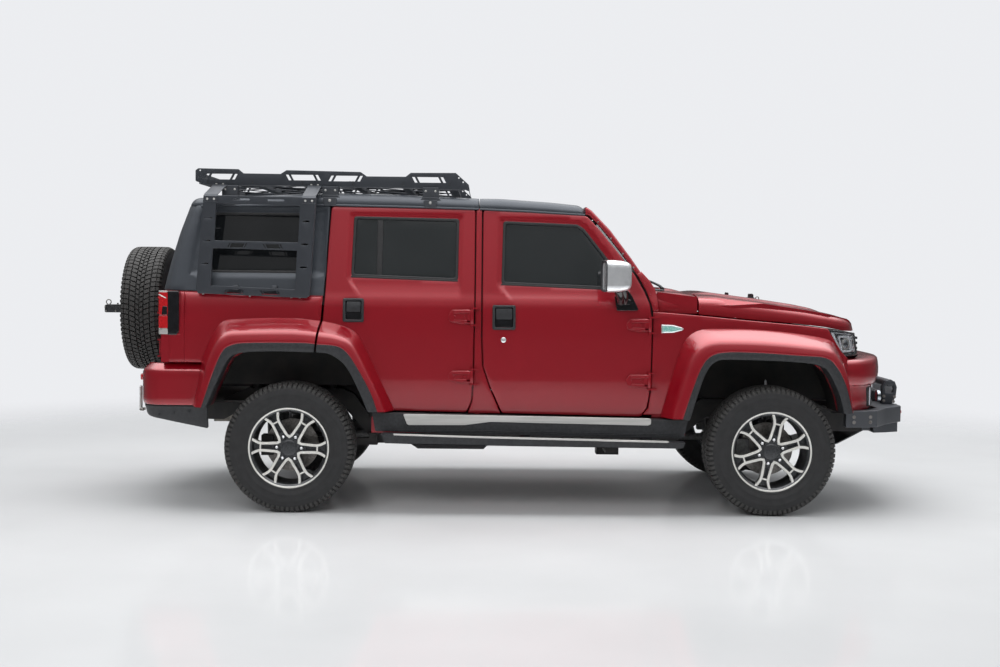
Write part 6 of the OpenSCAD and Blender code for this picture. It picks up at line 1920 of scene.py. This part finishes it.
make("front_seat_bases", g, DASH, slot="cabin_plastic", bevel=6, seg=3)
pad("seat_rear_cushion", 0, [(-2402, 772), (-2180, 780), (-1962, 788)], [540, 546, 540], [38, 42, 38],
    wing=0, crown=6,
    channels=(182, 340), panels=(0.45, 0.75), step=10, n=72, replaces=["rear_seat"])
pad("seat_rear_back", 0, [(-2398, 782), (-2430, 1000), (-2468, 1248)], [546, 546, 530], [40, 42, 36],
    face=-1, wing=0, crown=5,
    channels=(182, 340), panels=(0.3, 0.6, 0.85), step=10, n=72)
for tag, y in (("right", -380), ("middle", 0), ("left", 380)):
    pad(f"seat_rear_{tag}_headrest", y, [(-2476, 1292), (-2482, 1350), (-2492, 1424)], [102, 108, 98],
        [30, 33, 27], face=-1, crown=5,
        fill=0.8, step=6, n=60)
g = Geo()
g.prism("y", -536, 536, rounded([(FX - 2282, 544), (FX - 2024, 544), (FX - 2010, 738), (FX - 2290, 738)], 20))
make("rear_seat_base", g, DASH, slot="cabin_plastic", bevel=6, seg=3)

soften("dashboard", 8)
g = Geo()
g.prism("y", 230, 520,
        rounded([(FX - 800, 1238), (FX - 955, 1240), (FX - 990, 1226), (FX - 990, 1214), (FX - 800, 1214)],
                10))
make("instrument_hood", g, DASH, slot="cabin_plastic", bevel=6, seg=3)
g = Geo()
g.prism("x", FX - 978, FX - 964, rounded([(244, 1120), (506, 1120), (506, 1210), (244, 1210)], 22))
g.prism("x", FX - 992, FX - 962, rounded([(-130, 1060), (130, 1060), (130, 1204), (-130, 1204)], 14))
make("dash_screens", g, GLOSSBLACK, slot="cabin_plastic", bevel=2)
g = Geo()
for y in (-600, -190, 190, 600):
    g.prism("x", FX - 990, FX - 966,
            rounded([(y - 44, 1140), (y + 44, 1140), (y + 44, 1196), (y - 44, 1196)], 8))
    for z in (1152, 1164, 1176, 1188):
        g.box(FX - 993, FX - 984, y - 38, y + 38, z - 1.5, z + 1.5)
make("dash_vents", g, PLASTIC, slot="cabin_plastic", bevel=1)
g = Geo()
for z in (1092, 1078):
    for y in range(-100, 101, 40):
        g.tube([(FX - 990, y, z - 40), (FX - 1000, y, z - 40)], 9, 18)
g.prism("x", FX - 984, FX - 962, rounded([(-560, 985), (-240, 985), (-240, 1104), (-560, 1104)], 16))
make("dash_controls", g, DASH, slot="cabin_plastic", bevel=1.5)
g = Geo()
g.tube(smooth_line([(FX - 1010, 0, 695), (FX - 1030, 0, 760), (FX - 1046, 0, 810)], 8),
       [14, 12, 10, 9, 9, 9, 9, 9], 16)
g.tube([(FX - 1046, 0, 806), (FX - 1048, 0, 815), (FX - 1054, 0, 842), (FX - 1057, 0, 856),
        (FX - 1058, 0, 860)], [12, 20, 22, 16, 5], 20)
g.tube([(FX - 1130, 42, 695), (FX - 1150, 42, 756)], [9, 7], 14)
g.tube([(FX - 1150, 42, 752), (FX - 1156, 42, 768), (FX - 1160, 42, 782), (FX - 1162, 42, 790)],
       [9, 14, 13, 4], 18)
g.prism("y", -100, 100, rounded([(FX - 1552, 690), (FX - 1250, 690), (FX - 1256, 776), (FX - 1546, 772)], 14))
make("console_and_levers", g, DASH, slot="cabin_plastic", bevel=4, seg=3)
# steering wheel: leather rim with its spokes and pad, then the column and its two stalks
RIM_RADIUS, RIM_THICK = 178, 15
wheel_at = Matrix.Translation((FX - 1085, 370, 1095)) @ Matrix.Rotation(math.radians(114), 4, "Y")
ring = [(RIM_RADIUS * math.cos(q), RIM_RADIUS * math.sin(q), 0) for q in np.linspace(0, 2 * math.pi, 61)[:-1]]
g = Geo()
g.tube(ring, RIM_THICK, 18, closed=True)
for a in (0, 105, 180, 255):
    q = math.radians(a)
    d = Vector((math.cos(q), math.sin(q), 0))
    g.tube([d * r + Vector((0, 0, h)) for r, h in ((50, 14), (100, 8), (150, 2), (176, 0))],
           [17, 13, 11, 12], 14)
cap = Geo().lathe([(0.01, -14), (36, -12), (58, -4), (66, 8), (62, 30), (0.01, 34)][::-1], 40)
g.join(cap.turned(Matrix.Rotation(math.radians(90), 4, "X")))
g.tube([(0, 0, 24), (0, 0, 100), (0, 0, 150)], [28, 26, 30], 24)
for side in (1, -1):
    g.tube([(0, side * 40, 70), (0, side * 120, 62), (0, side * 170, 50)], [8, 6, 8], 12)
make("steering_wheel_rim", g.turned(wheel_at), LEATHER, slot="cabin_plastic", replaces=["steering_wheel"],
     smooth=50)
# interior mirror and sun visors
g = Geo()
g.prism("x", FX - 1020, FX - 1004, rounded([(-120, 1598), (120, 1598), (126, 1660), (-126, 1660)], 24))
g.tube([(FX - 1006, 0, 1650), (FX - 985, 0, 1690)], 8, 12)
make("interior_mirror", g, DASH, slot="cabin_plastic", bevel=3)
g = Geo()
for s in (-1, 1):
    g.prism("y", s * 370 - 190, s * 370 + 190,
            rounded([(FX - 1190, 1732), (FX - 1060, 1700), (FX - 1062, 1688), (FX - 1192, 1720)], 4))
make("sun_visors", g, HEADLINER, slot="cabin_plastic", bevel=4)
mat_lines = [[(-1000, 560), (-700, 560), (-700, 140), (-1000, 140)],
             [(-1960, 600), (-1620, 600), (-1620, 140), (-1960, 140)]]
g = Geo()
for ln in mat_lines:
    g.join(skin(rounded(ln, 30), [], lambda u, v: (FX + u, v, 545.5 + 0 * u), 60, depth=3, rim=2))
make_both("floor_mats", g, CARPET, slot="cabin_plastic", smooth=50)
g = skin(rounded([(-3420, -560), (-3420, 560), (-2560, 560), (-2560, -560)], 30), [], lambda u,
         v: (FX + u, v, 594.0 + 0 * u), 80, depth=3, rim=2)
make("load_mat", g, CARPET, slot="cabin_plastic", smooth=50)

# ---- running gear, seen through the arches and from below -----------------------------------------
def spring(g, low, high, r, wire, turns, n=9):
    """A coil of round wire between two points."""
    low, high = Vector(low), Vector(high)
    axis = (high - low).normalized()
    u = axis.orthogonal().normalized()
    v = axis.cross(u)
    count = int(turns * 16)
    path = []
    for i in range(count + 1):
        q = 2 * math.pi * turns * i / count
        path.append(low + (high - low) * (i / count) + (u * math.cos(q) + v * math.sin(q)) * r)
    g.tube(path, wire, n)


coils, tubes, rods = Geo(), Geo(), Geo()
spring(coils, (RX + 20, -430, 470), (RX + 20, -430, 640), 62, 7.5, 5)
for x, y, z0, z1, lean_in in ((RX - 150, 520, 320, 720, 60), (FX + 60, 560, 400, 800, 90)):
    low, high = Vector((x, -y, z0)), Vector((x - 20, -(y - lean_in), z1))
    mid = low + (high - low) * 0.55
    tubes.tube([low, mid], 26, 20)
    rods.tube([mid, high], 11, 14)
    tubes.tube([low - Vector((0, 26, 0)), low + Vector((0, 26, 0))], 19, 16)
make_both("coil_springs", coils, CHASSIS, slot="chassis_black", smooth=60)
make_both("damper_bodies", tubes, CHASSIS, slot="chassis_black", smooth=50)
make_both("damper_rods", rods, CHROME, slot="chrome_trim", smooth=50)
for node, width in (("ladder_frame", 4), ("powertrain", 10), ("rear_axle", 3), ("fuel_tank", 12),
                    ("exhaust", 2)):
    soften(node, width)

# ---- floor, light and background -------------------------------------------------------
FLOOR_RADIUS, FLOOR_SIDES = 9, 64
FLOOR_TONES = (0.84, 0.85, 0.86, 1), (0.90, 0.91, 0.92, 1)
FLOOR_ROUGH = 0.05, 0.14
FLOOR_GLOSS = 0.28
FLOOR_FADE = 3.0, 7.5
# the walls and ceiling that gloss shows: height share and level of each stop, and how bright the top is
GLOSS_AT, GLOSS_LEVELS, CEILING = (0.34, 0.56, 0.72), (0.02, 0.07, 0.18, 0.72, 1.0), 4.2
EVEN_LIGHT = (0.42, 0.43, 0.44, 1)
BACKDROP = (0.84, 0.85, 0.875, 1)


def floor_material():
    """Pale sealed concrete, matt with an even share of gloss, that fades out far away."""
    m = bpy.data.materials.new("studio_floor")
    m.use_nodes = True
    n, l = nodes_of(m)
    n.remove(n["Principled BSDF"])
    coords = n.new("ShaderNodeTexCoord")
    cloud = n.new("ShaderNodeTexNoise")
    cloud.inputs["Scale"].default_value = 0.9
    cloud.inputs["Detail"].default_value = 5
    l.new(coords.outputs["Object"], cloud.inputs["Vector"])
    tone = n.new("ShaderNodeValToRGB")
    tone.color_ramp.elements[0].position, tone.color_ramp.elements[1].position = 0.3, 0.7
    for stop, colour in zip(tone.color_ramp.elements, FLOOR_TONES):
        stop.color = colour
    l.new(cloud.outputs["Fac"], tone.inputs["Fac"])
    rough = n.new("ShaderNodeMapRange")
    rough.inputs["To Min"].default_value, rough.inputs["To Max"].default_value = FLOOR_ROUGH
    l.new(cloud.outputs["Fac"], rough.inputs["Value"])
    matt, gloss = n.new("ShaderNodeBsdfDiffuse"), n.new("ShaderNodeBsdfGlossy")
    gloss.inputs["Color"].default_value = (0.9, 0.9, 0.9, 1)
    l.new(tone.outputs["Color"], matt.inputs["Color"])
    l.new(rough.outputs["Result"], gloss.inputs["Roughness"])
    shine = n.new("ShaderNodeMixShader")
    shine.inputs["Fac"].default_value = FLOOR_GLOSS
    l.new(matt.outputs["BSDF"], shine.inputs[1])
    l.new(gloss.outputs["BSDF"], shine.inputs[2])
    away = n.new("ShaderNodeVectorMath")
    away.operation = "LENGTH"
    l.new(coords.outputs["Object"], away.inputs[0])
    fade = n.new("ShaderNodeMapRange")
    fade.interpolation_type = "SMOOTHSTEP"
    fade.inputs["From Min"].default_value, fade.inputs["From Max"].default_value = FLOOR_FADE
    l.new(away.outputs["Value"], fade.inputs["Value"])
    clear = n.new("ShaderNodeBsdfTransparent")
    mix = n.new("ShaderNodeMixShader")
    l.new(fade.outputs["Result"], mix.inputs["Fac"])
    l.new(shine.outputs["Shader"], mix.inputs[1])
    l.new(clear.outputs["BSDF"], mix.inputs[2])
    l.new(mix.outputs["Shader"], n["Material Output"].inputs["Surface"])
    return m


floor_mesh = bpy.data.meshes.new("floor")
ring = [(FLOOR_RADIUS * math.cos(a), FLOOR_RADIUS * math.sin(a), 0)
        for a in np.linspace(0, 2 * math.pi, FLOOR_SIDES, endpoint=False)]
floor_mesh.from_pydata(ring, [], [list(range(FLOOR_SIDES))])
floor_mesh.materials.append(floor_material())
floor = bpy.data.objects.new("floor", floor_mesh)
scene.collection.objects.link(floor)


def world():
    """White to the eye; dim walls and a bright ceiling for the gloss; an even plain light for the rest."""
    w = bpy.data.worlds.new("studio")
    scene.world = w
    w.use_nodes = True
    n, l = w.node_tree.nodes, w.node_tree.links
    back = n["Background"]
    path = n.new("ShaderNodeLightPath")
    coords = n.new("ShaderNodeTexCoord")
    split = n.new("ShaderNodeSeparateXYZ")
    l.new(coords.outputs["Generated"], split.inputs[0])
    ramp = n.new("ShaderNodeValToRGB")
    stops = ramp.color_ramp.elements
    stops[0].position, stops[1].position = 0.10, 0.90
    for at in GLOSS_AT:
        stops.new(at)
    for stop, level in zip(stops, GLOSS_LEVELS):
        stop.color = (level, level, level * 1.01, 1)
    l.new(split.outputs["Z"], ramp.inputs["Fac"])
    bright = n.new("ShaderNodeVectorMath")
    bright.operation = "SCALE"
    bright.inputs["Scale"].default_value = CEILING
    l.new(ramp.outputs["Color"], bright.inputs[0])
    gloss = n.new("ShaderNodeMix")
    gloss.data_type = "RGBA"
    gloss.inputs["A"].default_value = EVEN_LIGHT
    l.new(path.outputs["Is Glossy Ray"], gloss.inputs["Factor"])
    l.new(bright.outputs["Vector"], gloss.inputs["B"])
    seen = n.new("ShaderNodeMath")
    seen.operation = "MAXIMUM"
    l.new(path.outputs["Is Camera Ray"], seen.inputs[0])
    l.new(path.outputs["Is Transmission Ray"], seen.inputs[1])
    mix = n.new("ShaderNodeMix")
    mix.data_type = "RGBA"
    mix.inputs["B"].default_value = BACKDROP
    l.new(seen.outputs[0], mix.inputs["Factor"])
    l.new(gloss.outputs["Result"], mix.inputs["A"])
    l.new(mix.outputs["Result"], back.inputs["Color"])
    back.inputs["Strength"].default_value = 1.0


world()


def lamp(name, at, target, size, watts):
    """A soft lamp that gloss doesn't show, since the world's bright ceiling does that."""
    d = bpy.data.lights.new(name, "AREA")
    d.shape, d.size, d.size_y, d.energy = "RECTANGLE", size[0], size[1], watts
    o = bpy.data.objects.new(name, d)
    scene.collection.objects.link(o)
    o.location = at
    o.rotation_euler = (Vector(target) - Vector(at)).to_track_quat("-Z", "Y").to_euler()
    o.visible_glossy = False


lamp("ceiling", (0, 0, 5.2), (0, 0, 0), (8.0, 4.0), 340)
lamp("key", (-1.5, -6.5, 4.4), (0, 0, 0.9), (5.0, 2.0), 150)
lamp("fill", (2.5, 6.5, 4.4), (0, 0, 0.9), (5.0, 2.0), 110)
